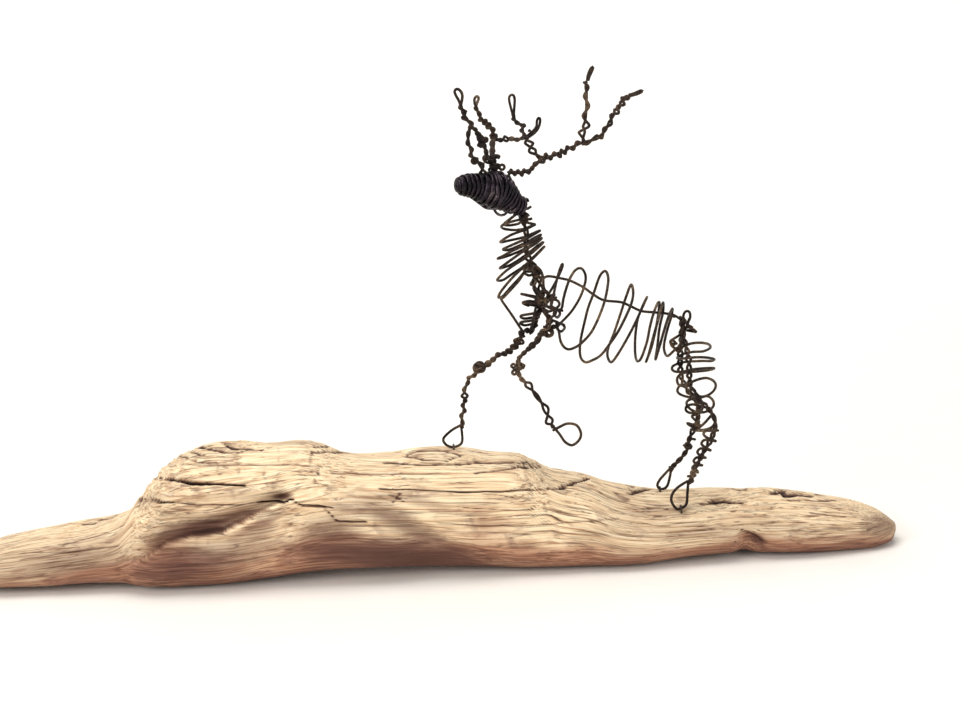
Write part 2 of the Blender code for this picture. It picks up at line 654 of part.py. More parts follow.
def build():
    """The whole sculpture."""
    for item in list(bpy.data.objects):
        bpy.data.objects.remove(item)

    skin = wood_mesh()
    tree = BVHTree.FromBMesh(skin)
    hooves = {
        "foreleg_right": follow(smooth(FORELEG_RIGHT_HOOF)),
        "hind_leg_left": follow(smooth(HIND_LEG_LEFT_HOOF)),
        "hind_leg_right": follow(smooth(HIND_LEG_RIGHT_HOOF)),
    }
    resting = {name: lowest_stretch(hoof) for name, hoof in hooves.items()}
    floor = {}
    for name, (a, b) in resting.items():
        under = [ground(tree, (ELK_X + x, ELK_Y + y + side))
                 for x, y, z in (a, (a + b) / 2, b) for side in (-WIRE, 0, WIRE)]
        floor[name] = max(under) + CLEARANCE + WIRE / 2
    foot = {name: min(a[2], b[2]) for name, (a, b) in resting.items()}
    elk_z = floor["hind_leg_left"] - foot["hind_leg_left"]
    place = np.array([ELK_X, ELK_Y, elk_z])
    drop = {name: foot[name] + elk_z - floor[name] for name in hooves}

    # Driftwood with a hole for each leg of the staples that hold the hooves
    wood = add_object("driftwood_base", skin)
    wood.data.materials.append(material("driftwood", WOOD_COLOUR, 0.85, 0))
    for name, (a, b) in resting.items():
        centre = (a + b) / 2 + place
        centre[2] -= drop[name]
        for side in (-1, 1):
            cutter = add_object(f"{name}_hole_{side}", staple_hole(centre, side))
            cutter.hide_render = True
            cutter.display_type = "WIRE"
            hole = wood.modifiers.new(f"{name} hole {side}", "BOOLEAN")
            hole.operation = "DIFFERENCE"
            hole.object = cutter
        fuse(f"{name}_staple", [thread(staple_path(centre), STAPLE_WIRE)])

    def settled(name, path):
        """A leg's or its hoof's path, lowered towards the hoof by what the wood asks."""
        top = SETTLE_TOP * UNIT
        share = np.clip((top - path[:, 2]) / (top - foot[name]), 0, 1)
        return path - np.outer(share**2 * drop[name], [0, 0, 1])

    head = head_pieces()
    crown = BVHTree.FromBMesh(head[0])
    parts = {"head": head}
    core = smooth(NECK)
    parts["neck_core"] = [pair(rest_on(core, crown, PAIR_RADIUS), LEG_TWIST)]
    parts["neck_wire"] = neck_wire(core)

    chest_top = around(between(core, CHEST_TOP), 3)
    clump = lobed_wrap(between(core, CLUMP), 2.5, CLUMP_LOBES, math.pi / 4, LEG_BESIDE + PAIR_RADIUS)
    bundle = lobed_wrap(between(core, BUNDLE), 3, BUNDLE_LOBES, math.pi * 5 / 4)
    parts["chest_wire"] = [wire(np.vstack([chest_top, CHEST_ARC, clump, bundle]))]

    spine_wrap = around(between(core, SPINE_START), 1.5, phase=math.pi)
    parts["spine_wire"] = [wire(np.vstack([spine_wrap, SPINE[1:]]))]

    onward = core[-1] - core[-2]
    onward /= np.linalg.norm(onward)
    joint = [core[-1] + onward * 1.4 * CLEARANCE, core[-1] + onward * 2 * MM]
    leg = smooth(settled("foreleg_right", np.vstack([joint, FORELEG_RIGHT])))
    parts["foreleg_right"] = [
        pair(leg, LEG_TWIST), thread(settled("foreleg_right", hooves["foreleg_right"])),
        knot(settled("foreleg_right", PLANTED_KNEE)[0], PLANTED_KNEE_RADIUS)]
    leg = smooth(FORELEG_LEFT)
    parts["foreleg_left"] = [
        pair(leg, LEG_TWIST), wire(FORELEG_LEFT_HOOF), knot(LIFTED_KNEE[0], LIFTED_KNEE_RADIUS)]
    rib_start = lobed_wrap(between(leg, LIFTED_LEG_TOP), 3, RIB_LOBES, aim=1)[::-1]
    ribs = loops(RIB_ENDS, RIB_NEAR, RIB_FAR, RIB_LEAN)

    near = smooth(settled("hind_leg_left", HIND_LEG_LEFT))
    far = smooth(settled("hind_leg_right", HIND_LEG_RIGHT))
    parts["hind_leg_left"] = [
        pair(near, LEG_TWIST), thread(settled("hind_leg_left", hooves["hind_leg_left"]))]
    parts["hind_leg_right"] = [
        pair(far, LEG_TWIST), thread(settled("hind_leg_right", hooves["hind_leg_right"])),
        knot(settled("hind_leg_right", FAR_HOCK)[0], FAR_HOCK_RADIUS)]
    rib_end = around(between(near, RIB_FOOT), 1.5, phase=math.pi, way=-1)
    parts["rib_coil"] = [wire(np.vstack([rib_start, ribs, rib_end]))]

    hip = around(HIP, 2.5, radius=HIP_BESIDE + WRAP_RADIUS, way=-1)
    spiral = around(between(near, SHIN), 6, phase=math.pi, radii=HAUNCH_SPIRAL, way=-1)
    haunch = loops(HAUNCH_ENDS, HAUNCH_NEAR, HAUNCH_FAR)
    parts["haunch_wire"] = [wire(np.vstack([RUMP_LOOP, hip, haunch, spiral]))]

    parts["antler_left"] = [
        pair(rest_on(smooth(ANTLER_LEFT), crown, PAIR_RADIUS), ANTLER_TWIST),
        pair(smooth(UP_TINE), ANTLER_TWIST), pair(smooth(MIDDLE_TINE), ANTLER_TWIST),
        tip_loop(ANTLER_LEFT_TIP, BEAM_LOOP), tip_loop(UP_TINE_TIP, UP_LOOP)]
    stem = rest_on(smooth(ANTLER_RIGHT), crown, CROWN_RADII[0] + RIDGE)
    root = point_at(stem, np.linspace(0, CROWN_HEIGHT, 8))
    upper = point_at(stem, np.linspace(CROWN_HEIGHT * 0.8, lengths(stem)[-1], 80))
    parts["antler_right"] = [
        wound_body(root, CROWN_RADII, 8), pair(upper, ANTLER_TWIST),
        pair(smooth(FORWARD_TINE), ANTLER_TWIST), pair(smooth(REAR_TINE), ANTLER_TWIST),
        pair(smooth(TALL_TINE), ANTLER_TWIST), tip_loop(TALL_TINE_TIP, TALL_LOOP),
        tip_loop(FORWARD_TINE_TIP, SHORT_LOOP), tip_loop(REAR_TINE_TIP, SHORT_LOOP)]
    parts["brow_tine"] = [
        pair(rest_on(smooth(BROW_TINE), crown, PAIR_RADIUS), ANTLER_TWIST),
        pair(rest_on(smooth(BROW_STRUT), crown, PAIR_RADIUS), ANTLER_TWIST),
        tip_loop(BROW_TINE_TIP, BROW_LOOP), knot(BROW_STRUT[2], BROW_KNOT_RADIUS)]

    for name, pieces in parts.items():
        for mesh in pieces:
            bmesh.ops.translate(mesh, verts=mesh.verts, vec=place)
        fuse(name, pieces, HEAD_COLOUR if name == "head" else WIRE_COLOUR)


build()
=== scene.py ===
"""Looks of the twisted wire elk on its piece of driftwood.

The elk faces -X, and the photograph sees it from -Y. Lengths are in millimetres up to the last step
of each mesh, which turns them into metres. Pixels are places in the photograph.
"""

import math

import bpy
import numpy as np
from mathutils import Matrix, Vector, noise


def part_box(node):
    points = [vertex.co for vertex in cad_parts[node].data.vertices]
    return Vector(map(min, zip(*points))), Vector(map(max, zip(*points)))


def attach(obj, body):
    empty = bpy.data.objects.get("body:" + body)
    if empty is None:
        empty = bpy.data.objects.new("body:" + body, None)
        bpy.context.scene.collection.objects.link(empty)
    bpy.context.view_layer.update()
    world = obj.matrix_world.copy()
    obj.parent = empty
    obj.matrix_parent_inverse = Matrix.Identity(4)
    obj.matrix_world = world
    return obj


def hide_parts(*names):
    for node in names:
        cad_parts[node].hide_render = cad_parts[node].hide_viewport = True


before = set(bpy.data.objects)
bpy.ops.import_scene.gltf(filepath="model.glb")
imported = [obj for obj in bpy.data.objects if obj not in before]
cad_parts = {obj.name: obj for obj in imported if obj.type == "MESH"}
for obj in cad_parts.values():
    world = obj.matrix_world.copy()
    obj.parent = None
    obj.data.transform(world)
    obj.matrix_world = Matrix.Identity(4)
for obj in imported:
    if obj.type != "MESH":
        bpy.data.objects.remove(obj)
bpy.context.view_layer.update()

MM = 0.001


def box(node):
    """Lowest and highest corner of a CAD node."""
    low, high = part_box(node)
    return np.array(low) / MM, np.array(high) / MM


# The elk's own frame: its place on the driftwood, with its height from the near hind hoof's node
ELK_X = 75
ELK_Y = -2
HIND_HOOF_LOW = -1.05
ELK_Z = box("hind_leg_left")[0][2] - HIND_HOOF_LOW
PLACE = np.array([ELK_X, ELK_Y, ELK_Z])


# The photograph's camera, looking slightly down at the middle of the elk. FOCAL is in pixels, and
# NEAREST and FARTHEST, between which the camera sees, are in metres
WIDTH, HEIGHT = 962, 721
FOCAL = 1100.0
PITCH = math.radians(12.0)
ROLL = math.radians(3.2)
DISTANCE = 550.0
TARGET = np.array([41.0, ELK_Y, 105.2])
SENSOR = 36.0
NEAREST, FARTHEST = 0.01, 50
PIXELS_PER_MM = FOCAL / DISTANCE

FORWARD = np.array([0, math.cos(PITCH), -math.sin(PITCH)])
LEVEL_UP = np.array([0, math.sin(PITCH), math.cos(PITCH)])
RIGHT = math.cos(ROLL) * np.array([1.0, 0, 0]) - math.sin(ROLL) * LEVEL_UP
UP = math.sin(ROLL) * np.array([1.0, 0, 0]) + math.cos(ROLL) * LEVEL_UP
EYE = TARGET - DISTANCE * FORWARD


def to_pixel(points):
    """Where places fall in the photograph."""
    away = np.asarray(points, float) - EYE
    depth = away @ FORWARD
    u = WIDTH / 2 + FOCAL * (away @ RIGHT) / depth
    v = HEIGHT / 2 - FOCAL * (away @ UP) / depth
    return np.stack([u, v], -1)


def spot(u, v, y):
    """Place in the elk's own frame on the photograph's line of sight through a pixel, at a depth y."""
    ray = FORWARD + RIGHT * (u - WIDTH / 2) / FOCAL - UP * (v - HEIGHT / 2) / FOCAL
    return EYE + (y + ELK_Y - EYE[1]) / ray[1] * ray - PLACE


def make_camera():
    data = bpy.data.cameras.new("camera")
    data.sensor_width = SENSOR
    data.lens = FOCAL / WIDTH * SENSOR
    data.clip_start = NEAREST
    data.clip_end = FARTHEST
    camera = bpy.data.objects.new("camera", data)
    turn = Matrix([RIGHT, UP, -FORWARD]).transposed().to_4x4()
    camera.matrix_world = Matrix.Translation(Vector(EYE * MM)) @ turn
    bpy.context.scene.collection.objects.link(camera)
    bpy.context.scene.camera = camera


# Curves

FIRST_ACROSS = (0.3, 1, 0.2)


def lengths(path):
    """Distance along the path at each of its points."""
    return np.concatenate([[0], np.cumsum(np.linalg.norm(np.diff(path, axis=0), axis=1))])


def point_at(path, distance):
    """Places on the path at an array of distances."""
    reach = lengths(path)
    return np.stack([np.interp(distance, reach, path[:, k]) for k in range(3)], axis=-1)


def even(path, step):
    """The same path with its points about one step apart."""
    total = lengths(path)[-1]
    count = max(2, round(total / step) + 1)
    return point_at(path, np.linspace(0, total, count))


def smooth(points, fine=8):
    """Smooth curve through all the points."""
    points = np.asarray(points, float)
    ends = np.vstack([2 * points[0] - points[1], points, 2 * points[-1] - points[-2]])
    curve = [points[0]]
    for a, b, c, d in zip(ends, ends[1:], ends[2:], ends[3:]):
        for k in range(1, fine + 1):
            t = k / fine
            linear = (c - a) * t
            square = (2 * a - 5 * b + 4 * c - d) * t**2
            cube = (3 * b - a - 3 * c + d) * t**3
            curve.append(b + (linear + square + cube) / 2)
    return np.array(curve)


def frames(path):
    """Two unit vectors across the path at each point, that never spin around it."""
    ways = np.diff(path, axis=0)
    ways /= np.linalg.norm(ways, axis=1)[:, None]
    tangents = np.vstack([ways[:1], ways[:-1] + ways[1:], ways[-1:]])
    tangents /= np.linalg.norm(tangents, axis=1)[:, None]
    across = np.cross(tangents[0], FIRST_ACROSS)
    firsts = []
    for tangent in tangents:
        across = across - tangent * (across @ tangent)
        across = across / np.linalg.norm(across)
        firsts.append(across)
    firsts = np.array(firsts)
    return firsts, np.cross(tangents, firsts)


def spokes(firsts, seconds, angles):
    """Unit vectors at angles between the two across a path."""
    return np.cos(angles)[..., None] * firsts + np.sin(angles)[..., None] * seconds


def along(values, count):
    """Values spread evenly over so many points."""
    return np.interp(np.linspace(0, 1, count), np.linspace(0, 1, len(values)), values)


def between(path, high, low):
    """Stretch of a falling path between two heights on the elk."""
    heights = path[:, 2]
    first = int(np.argmax(heights <= high))
    last = int(np.argmax(heights <= low))
    return path[max(first - 1, 0):last + 1]


def depth_at(path, u, v):
    """Depth of the place on a path that the photograph shows nearest to a pixel."""
    gaps = np.linalg.norm(to_pixel(path + PLACE) - (u, v), axis=1)
    return path[np.argmin(gaps)][1]


def traced(points):
    """Smooth wire through pixels that each have their own depth."""
    return smooth([spot(*point) for point in points], 5)


def drawn(pixels, path):
    """Smooth wire through pixels, as deep as the wires that carry it."""
    return smooth([spot(u, v, depth_at(path, u, v)) for u, v in pixels], 5)


# Wound and twisted wires

TURN_STEPS = 22
CORE_STEPS = 300
CORE_STEP = 0.5

# Twisted pairs: length of a full twist, how far the strands stray from the middle, and how unevenly
TWIST = 8.5
SPREAD = 0.68
CLOSE_SPREAD = 0.62
TWIST_LILT = 1.3
LILT_NOISE = (0.9, 3.1)
SLACK_NOISE = (1.6, 8.4)
SLACK_FROM = 0.12
SLACK = 0.9
LEAN = 0.3

# Braided pairs: a strand's middle lies inside the outline that the pixels mark. Only the sides of an
# open eye, wider than EYE_GAP pixels, stay where they are
BRAID_ROOM = 0.62
STRAND_GAP = 2.4
LEAST_PULL = 0.78
EYE_GAP = 5.0

ROUND_TURNS = 1.15
ROUND_DRIFT = 0.6
KNOT_HOLLOW = 0.55
KNOT_FLATNESS = 0.12


def around(path, turns, radii, phase):
    """Helix of so many turns around the path, with its radii spread along it."""
    count = round(turns * TURN_STEPS) + 1
    core = even(path, lengths(path)[-1] / CORE_STEPS)
    firsts, seconds = frames(core)
    index = (np.linspace(0, 1, count) * (len(core) - 1)).round().astype(int)
    angles = phase + np.arange(count) * 2 * math.pi / TURN_STEPS
    middles = point_at(core, np.linspace(0, lengths(core)[-1], count))
    return middles + along(radii, count)[:, None] * spokes(firsts[index], seconds[index], angles)


def twisted(path, spread=SPREAD):
    """Two strands twisted round each other, a little unevenly."""
    core = even(path, CORE_STEP)
    reach = lengths(core)
    lilt, slack = (np.array([noise.noise((s / TWIST * pace, 0.0, offset)) for s in reach])
                   for pace, offset in (LILT_NOISE, SLACK_NOISE))
    across = spokes(*frames(core), 2 * math.pi * reach / TWIST + TWIST_LILT * lilt)
    away = (spread + SLACK * np.maximum(slack - SLACK_FROM, 0))[:, None]
    lean = LEAN * lilt[:, None]
    return [core + across * (away + lean), core - across * (away - lean)]


def braid(rows, path, cores=0):
    """Pair of strands that change sides from row to row. A row holds a pixel of each side.

    cores is the number of rows, from the first, that have one more strand through their middle.
    """
    middles = []
    for a, b, c, d in rows:
        u, v = (a + c) / 2, (b + d) / 2
        middles.append(spot(u, v, depth_at(path, u, v)))
    strands = ([], [])
    for k, (a, b, c, d) in enumerate(rows):
        middle = middles[k]
        gap = math.hypot(c - a, d - b)
        pull = 1 if gap > EYE_GAP else max(LEAST_PULL, STRAND_GAP / gap)
        sides = [middle + (spot(*side, middle[1]) - middle) * pull for side in ((a, b), (c, d))]
        for n in (0, 1):
            strands[n].append(sides[(k + n) % 2])
        if k < len(rows) - 1:
            crossing = (middle + middles[k + 1]) / 2
            for n in (0, 1):
                strands[n].append(crossing + FORWARD * BRAID_ROOM * (-1) ** (k + n))
    third = [middles[:cores]] if cores else []
    return [smooth(strand, 6) for strand in list(strands) + third]


def ring(centre, radius, lean, start):
    """Small round of wire that faces the viewer, turned about Z by lean. Both angles are in degrees."""
    count = round(ROUND_TURNS * TURN_STEPS) + 1
    angles = math.radians(start) + np.linspace(0, ROUND_TURNS * 2 * math.pi, count)
    drift = np.linspace(-ROUND_DRIFT, ROUND_DRIFT, count)
    flat = np.stack([radius * np.cos(angles), drift, radius * np.sin(angles)], -1)
    turn = Matrix.Rotation(math.radians(lean), 3, "Z")
    return flat @ np.array(turn.transposed()) + centre


def tangle(centre, radius, rounds, seed):
    """Wire wound over itself into a small ball. Its plane turns, and its reach wavers, as it goes."""
    count = round(rounds * TURN_STEPS)
    path = []
    for k in range(count):
        t = k / count
        angle = 2 * math.pi * rounds * t
        waver = 0.5 + 0.5 * math.sin(23 * t + seed * 2)
        reach = radius * (KNOT_HOLLOW + (1 - KNOT_HOLLOW) * waver)
        height = KNOT_FLATNESS * math.sin(3 * angle)
        point = Vector((math.cos(angle), math.sin(angle), height)) * reach
        point.rotate(Matrix.Rotation(seed + 3.9 * t, 3, "X"))
        point.rotate(Matrix.Rotation(seed * 2 + 5.1 * t, 3, "Z"))
        path.append(list(point))
    return np.array(path) + centre


# Meshes

WIRE_SIDES = 10
WIRE_STEP = 0.62
WIRE_END = 0.8


def rings_around(path, radii, sides):
    """Grid of points in circles around the path."""
    firsts, seconds = frames(path)
    angles = np.linspace(0, 2 * math.pi, sides, endpoint=False)
    return path[:, None] + radii[:, None, None] * spokes(firsts[:, None], seconds[:, None], angles)


def skin(rings, ends=None, reverse=False):
    """Vertices and faces over a grid of rings.

    Each end is closed by a fan from its point in ends, or by one flat face without them.
    """
    rows, columns = rings.shape[:2]
    index = np.arange(rows * columns).reshape(rows, columns)
    onward = np.roll(index, -1, axis=1)
    faces = np.stack([index[:-1], onward[:-1], onward[1:], index[1:]], -1).reshape(-1, 4).tolist()
    vertices = rings.reshape(-1, 3)
    if ends is None:
        faces += [index[0][::-1].tolist(), index[-1].tolist()]
    else:
        vertices = np.vstack([vertices, *ends])
        first, last = rows * columns, rows * columns + 1
        faces += [[first, b, a] for a, b in zip(index[0].tolist(), onward[0].tolist())]
        faces += [[last, a, b] for a, b in zip(index[-1].tolist(), onward[-1].tolist())]
    if reverse:
        faces = [face[:1] + face[:0:-1] for face in faces]
    return vertices, faces


def tube(path, radius):
    """Vertices and faces of a round wire with slightly rounded ends."""
    path = even(np.asarray(path, float), WIRE_STEP)
    radii = np.full(len(path), radius)
    radii[[0, -1]] *= WIRE_END
    return skin(rings_around(path, radii, WIRE_SIDES), (path[0], path[-1]))


def add_piece(name, parts, surface, node):
    """One object of several meshes, given as (vertices, faces), that stands for a CAD node."""
    vertices, faces, offset = [], [], 0
    for part_vertices, part_faces in parts:
        vertices.append(part_vertices)
        faces += [[n + offset for n in face] for face in part_faces]
        offset += len(part_vertices)
    data = bpy.data.meshes.new(name)
    data.from_pydata((np.vstack(vertices) * MM).tolist(), [], faces)
    data.shade_smooth()
    data.materials.append(surface)
    piece = bpy.data.objects.new(name, data)
    bpy.context.scene.collection.objects.link(piece)
    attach(piece, "root")
    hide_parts(node)
    return piece


# Materials

class Nodes:
    """Short way to lay out a material's nodes."""

    def __init__(self, name):
        self.material = bpy.data.materials.new(name)
        self.material.use_nodes = True
        self.tree = self.material.node_tree
        self.shader = self.tree.nodes["Principled BSDF"]
        self.place = self.add("ShaderNodeTexCoord").outputs["Object"]

    def add(self, kind, inputs=(), **settings):
        """New node. inputs holds (socket, value or other node's output)."""
        node = self.tree.nodes.new(kind)
        for key, value in settings.items():
            setattr(node, key, value)
        for socket, value in inputs:
            self.set(node, socket, value)
        return node

    def set(self, node, socket, value):
        """Sets a socket to a value, or links another node's output to it."""
        if isinstance(value, bpy.types.NodeSocket):
            self.tree.links.new(value, node.inputs[socket])
        else:
            node.inputs[socket].default_value = value

    def surface(self, **values):
        """Sets the shader's sockets, named with _ for a blank."""
        for key, value in values.items():
            self.set(self.shader, key.replace("_", " "), value)

    def noise(self, scale, detail=4.0, distortion=0.0):
        """Noise between 0 and 1 in the material's coordinates at a scale per axis."""
        scaled = self.add("ShaderNodeMapping", [("Vector", self.place), ("Scale", scale)])
        node = self.add("ShaderNodeTexNoise", [
            ("Vector", scaled.outputs["Vector"]), ("Scale", 1.0), ("Detail", detail),
            ("Distortion", distortion)])
        return node.outputs["Fac"]

    def ramp(self, factor, stops):
        """Colour ramp with (place, colour) stops."""
        node = self.add("ShaderNodeValToRGB", [("Fac", factor)])
        ramp = node.color_ramp
        while len(ramp.elements) > 1:
            ramp.elements.remove(ramp.elements[-1])
        for k, (place, colour) in enumerate(stops):
            element = ramp.elements[0] if k == 0 else ramp.elements.new(place)
            element.position = place
            element.color = (*colour, 1)
        return node.outputs["Color"]

    def span(self, factor, low, high, to_low=0.0, to_high=1.0):
        """Factor stretched from one span to another, and held inside it."""
        node = self.add("ShaderNodeMapRange", [
            ("Value", factor), ("From Min", low), ("From Max", high), ("To Min", to_low),
            ("To Max", to_high)])
        return node.outputs["Result"]

    def math(self, operation, a, b=0.0):
        return self.add("ShaderNodeMath", [(0, a), (1, b)], operation=operation).outputs[0]

    def mix(self, factor, a, b):
        """Mix of two colours, each a value or an output."""
        node = self.add("ShaderNodeMix", data_type="RGBA")
        for socket, value in ((0, factor), (6, a), (7, b)):
            value = (*value, 1) if isinstance(value, tuple) else value
            self.set(node, socket, value)
        return node.outputs[2]

    def attribute(self, name, kind="Fac"):
        """What is written on the mesh's vertices, as a number or a vector."""
        return self.add("ShaderNodeAttribute", attribute_name=name).outputs[kind]

    def bump(self, height, strength, distance, under=None):
        inputs = [("Height", height), ("Strength", strength), ("Distance", distance)]
        if under is not None:
            inputs.append(("Normal", under))
        return self.add("ShaderNodeBump", inputs).outputs["Normal"]


def wire_material(name, dark, warm, glint, roughness, metallic=0.3, specular=0.2):
    """Annealed steel wire: near black scale, with random patches of warm brown and lighter tan that are
    painted glints.
    """
    m = Nodes(name)
    patches = m.noise((90, 90, 90), 5)
    specks = m.noise((900, 900, 900), 3)
    draw_marks = m.noise((1500, 1500, 1500), 2)
    # Random patches run from the near black scale to warm brown and lighter tan painted glints
    colour = m.ramp(patches, [(0.36, dark), (0.54, warm), (0.74, glint)])
    m.surface(
        Base_Color=m.mix(m.span(specks, 0.42, 0.68), colour, dark),
        Metallic=metallic,
        Specular_IOR_Level=specular,
        Roughness=m.span(specks, 0.3, 0.7, roughness - 0.1, roughness + 0.12),
        Normal=m.bump(draw_marks, 0.25, 0.00008))
    return m.material


# The warm and lightest colours of each wire are painted glints and sheen in random patches
WIRE_STEEL = wire_material(
    "wire_steel", (0.012, 0.008, 0.008), (0.058, 0.037, 0.026), (0.24, 0.16, 0.095), 0.44)
HEAD_STEEL = wire_material(
    "head_steel", (0.009, 0.0065, 0.01), (0.042, 0.029, 0.043), (0.22, 0.17, 0.18), 0.27, 0.7, 0.5)
STAPLE_STEEL = wire_material(
    "staple_steel", (0.03, 0.025, 0.02), (0.09, 0.07, 0.055), (0.2, 0.17, 0.13), 0.4)


# Driftwood. A row of the table is a section: its place as a share of the half length, its underside and
# top as shares of the height, and its front and back as shares of the half depth. It is the solid's
# table, with a few sections moved a little towards the photograph's outline

WOOD_LENGTH = 497
WOOD_DEPTH = 68
WOOD_HEIGHT = 65
WOOD_TABLE = np.array([
    (-1.00, 0.08, 0.19, -0.05, 0.35),
    (-0.97, 0.04, 0.25, -0.28, 0.58),
    (-0.89, 0.03, 0.31, -0.45, 0.74),
    (-0.74, 0.03, 0.41, -0.58, 0.84),
    (-0.64, 0.04, 0.47, -0.66, 0.88),
    (-0.58, 0.03, 0.55, -0.72, 0.92),
    (-0.54, 0.01, 0.72, -0.80, 0.95),
    (-0.50, -0.01, 0.87, -0.85, 0.97),
    (-0.44, -0.01, 0.985, -0.88, 1.00),
    (-0.39, -0.01, 1.02, -0.90, 1.00),
    (-0.28, 0.02, 1.005, -0.92, 1.00),
    (-0.18, 0.06, 0.98, -0.94, 0.98),
    (-0.14, 0.07, 0.915, -0.94, 0.97),
    (-0.04, 0.06, 0.88, -0.93, 0.96),
    (0.02, 0.05, 0.90, -0.92, 0.96),
    (0.09, 0.03, 0.89, -0.92, 0.97),
    (0.16, 0.01, 0.86, -0.91, 0.97),
    (0.24, -0.01, 0.81, -0.90, 0.97),
    (0.29, -0.01, 0.68, -0.90, 0.98),
    (0.37, -0.01, 0.58, -0.90, 0.98),
    (0.41, -0.01, 0.50, -0.90, 0.98),
    (0.47, -0.01, 0.44, -0.88, 0.97),
    (0.56, 0.03, 0.405, -0.86, 0.94),
    (0.69, 0.02, 0.395, -0.80, 0.88),
    (0.80, -0.01, 0.36, -0.75, 0.79),
    (0.89, -0.01, 0.305, -0.68, 0.68),
    (0.96, -0.01, 0.24, -0.54, 0.50),
    (0.985, 0.01, 0.20, -0.42, 0.38),
    (1.00, 0.05, 0.15, -0.22, 0.22),
])

# Sections are rounded squares, squarer below than above
TOP_POWER = 2 / 2.7
UNDER_POWER = 2 / 3.2

# Notch in the lower front: place and width along the wood, height that it fades over, and depth
NOTCH_PLACE = 0.675
NOTCH_WIDTH = 0.018
NOTCH_TOP = (0.14, 0.34)
NOTCH_DEPTH = 0.12
NOTCH_FRONT = 1.6

# Low lumps all over, as shares of the half depth
LONG_WAVE = 0.022
SHORT_WAVE = 0.012


def fade(value, low, high):
    """0 below low, 1 above high, smooth between."""
    t = np.clip((value - low) / (high - low), 0, 1)
    return t * t * (3 - 2 * t)


def window(value, low, full, waning, gone):
    """0 below low, 1 from full to waning, and 0 again above gone."""
    return fade(value, low, full) * (1 - fade(value, waning, gone))


def bell(value, width):
    """1 where the value is zero, falling off over a width."""
    return np.exp(-(value / width) ** 2)


def rounded_table(x):
    """Underside, top, front and back shares at places along the wood, on smooth curves."""
    places, shares = WOOD_TABLE[:, 0], WOOD_TABLE[:, 1:]
    slopes = np.gradient(shares, places, axis=0)
    k = np.clip(np.searchsorted(places, x) - 1, 0, len(places) - 2)
    width = (places[k + 1] - places[k])[:, None]
    t = (x[:, None] - places[k][:, None]) / width
    start = (2 * t**3 - 3 * t**2 + 1) * shares[k] + (t**3 - 2 * t**2 + t) * width * slopes[k]
    end = (3 * t**2 - 2 * t**3) * shares[k + 1] + (t**3 - t**2) * width * slopes[k + 1]
    return start + end


def weathering(x, angle):
    """Height of the low lumps, in shares of the half depth."""
    long_wave = np.sin(11 * x + 1.3) * np.cos(angle * 2 + 4 * x)
    short_wave = np.sin(29 * x + 0.4) * np.sin(angle * 3 + 9 * x)
    return LONG_WAVE * long_wave + SHORT_WAVE * short_wave


def wood_skin(x, angle):
    """Places on the plain skin, for places along it and angles around it from the back edge."""
    low, top, front, back = (column[:, None] for column in rounded_table(x).T)
    x = np.broadcast_to(x[:, None], (len(x), angle.shape[-1]))
    middle_y, half_y = (front + back) / 2, (back - front) / 2
    middle_z, half_z = (low + top) / 2, (top - low) / 2
    cos, sin = np.cos(angle), np.sin(angle)
    power = np.where(sin > 0, TOP_POWER, UNDER_POWER)
    y = middle_y + half_y * np.sign(cos) * abs(cos) ** power
    z = middle_z + half_z * np.sign(sin) * abs(sin) ** power
    notch = NOTCH_DEPTH * bell(x - NOTCH_PLACE, NOTCH_WIDTH) * (1 - fade(z, *NOTCH_TOP))
    y = y + notch * np.clip(-cos * NOTCH_FRONT, 0, 1)
    taper = np.minimum(1, half_y * 2)
    y = y + weathering(x, angle) * taper * cos
    z = z + weathering(x + 0.7, angle) * taper * np.maximum(sin, -0.2)
    return np.stack([x * WOOD_LENGTH / 2, y * WOOD_DEPTH / 2, np.maximum(z, 0) * WOOD_HEIGHT], -1)


def grid_normals(points):
    """Outward unit vector at each point of a grid of rings."""
    lengthwise = np.gradient(points, axis=0)
    roundwise = np.roll(points, -1, axis=1) - np.roll(points, 1, axis=1)
    normals = np.cross(roundwise, lengthwise)
    return normals / np.maximum(np.linalg.norm(normals, axis=-1), 1e-9)[..., None]


def field(points, scale, offset):
    """Smooth noise between about -1 and 1 at each point, at a length per axis."""
    flat = (points / np.array(scale, float) + offset).reshape(-1, 3)
    return np.array([noise.noise(p) for p in flat.tolist()]).reshape(points.shape[:-1])


def off_line(pixels, line):
    """Distance in pixels from each pixel to a broken line, and how far along it, from 0 to 1."""
    line = np.array(line, float)
    reach = lengths(line)
    best = np.full(pixels.shape[:-1], 1e9)
    where = np.zeros(pixels.shape[:-1])
    for k, (a, b) in enumerate(zip(line, line[1:])):
        way = b - a
        t = np.clip(((pixels - a) @ way) / (way @ way), 0, 1)
        gap = np.linalg.norm(pixels - (a + t[..., None] * way), axis=-1)
        place = (reach[k] + t * np.linalg.norm(way)) / reach[-1]
        where = np.where(gap < best, place, where)
        best = np.minimum(best, gap)
    return best, where


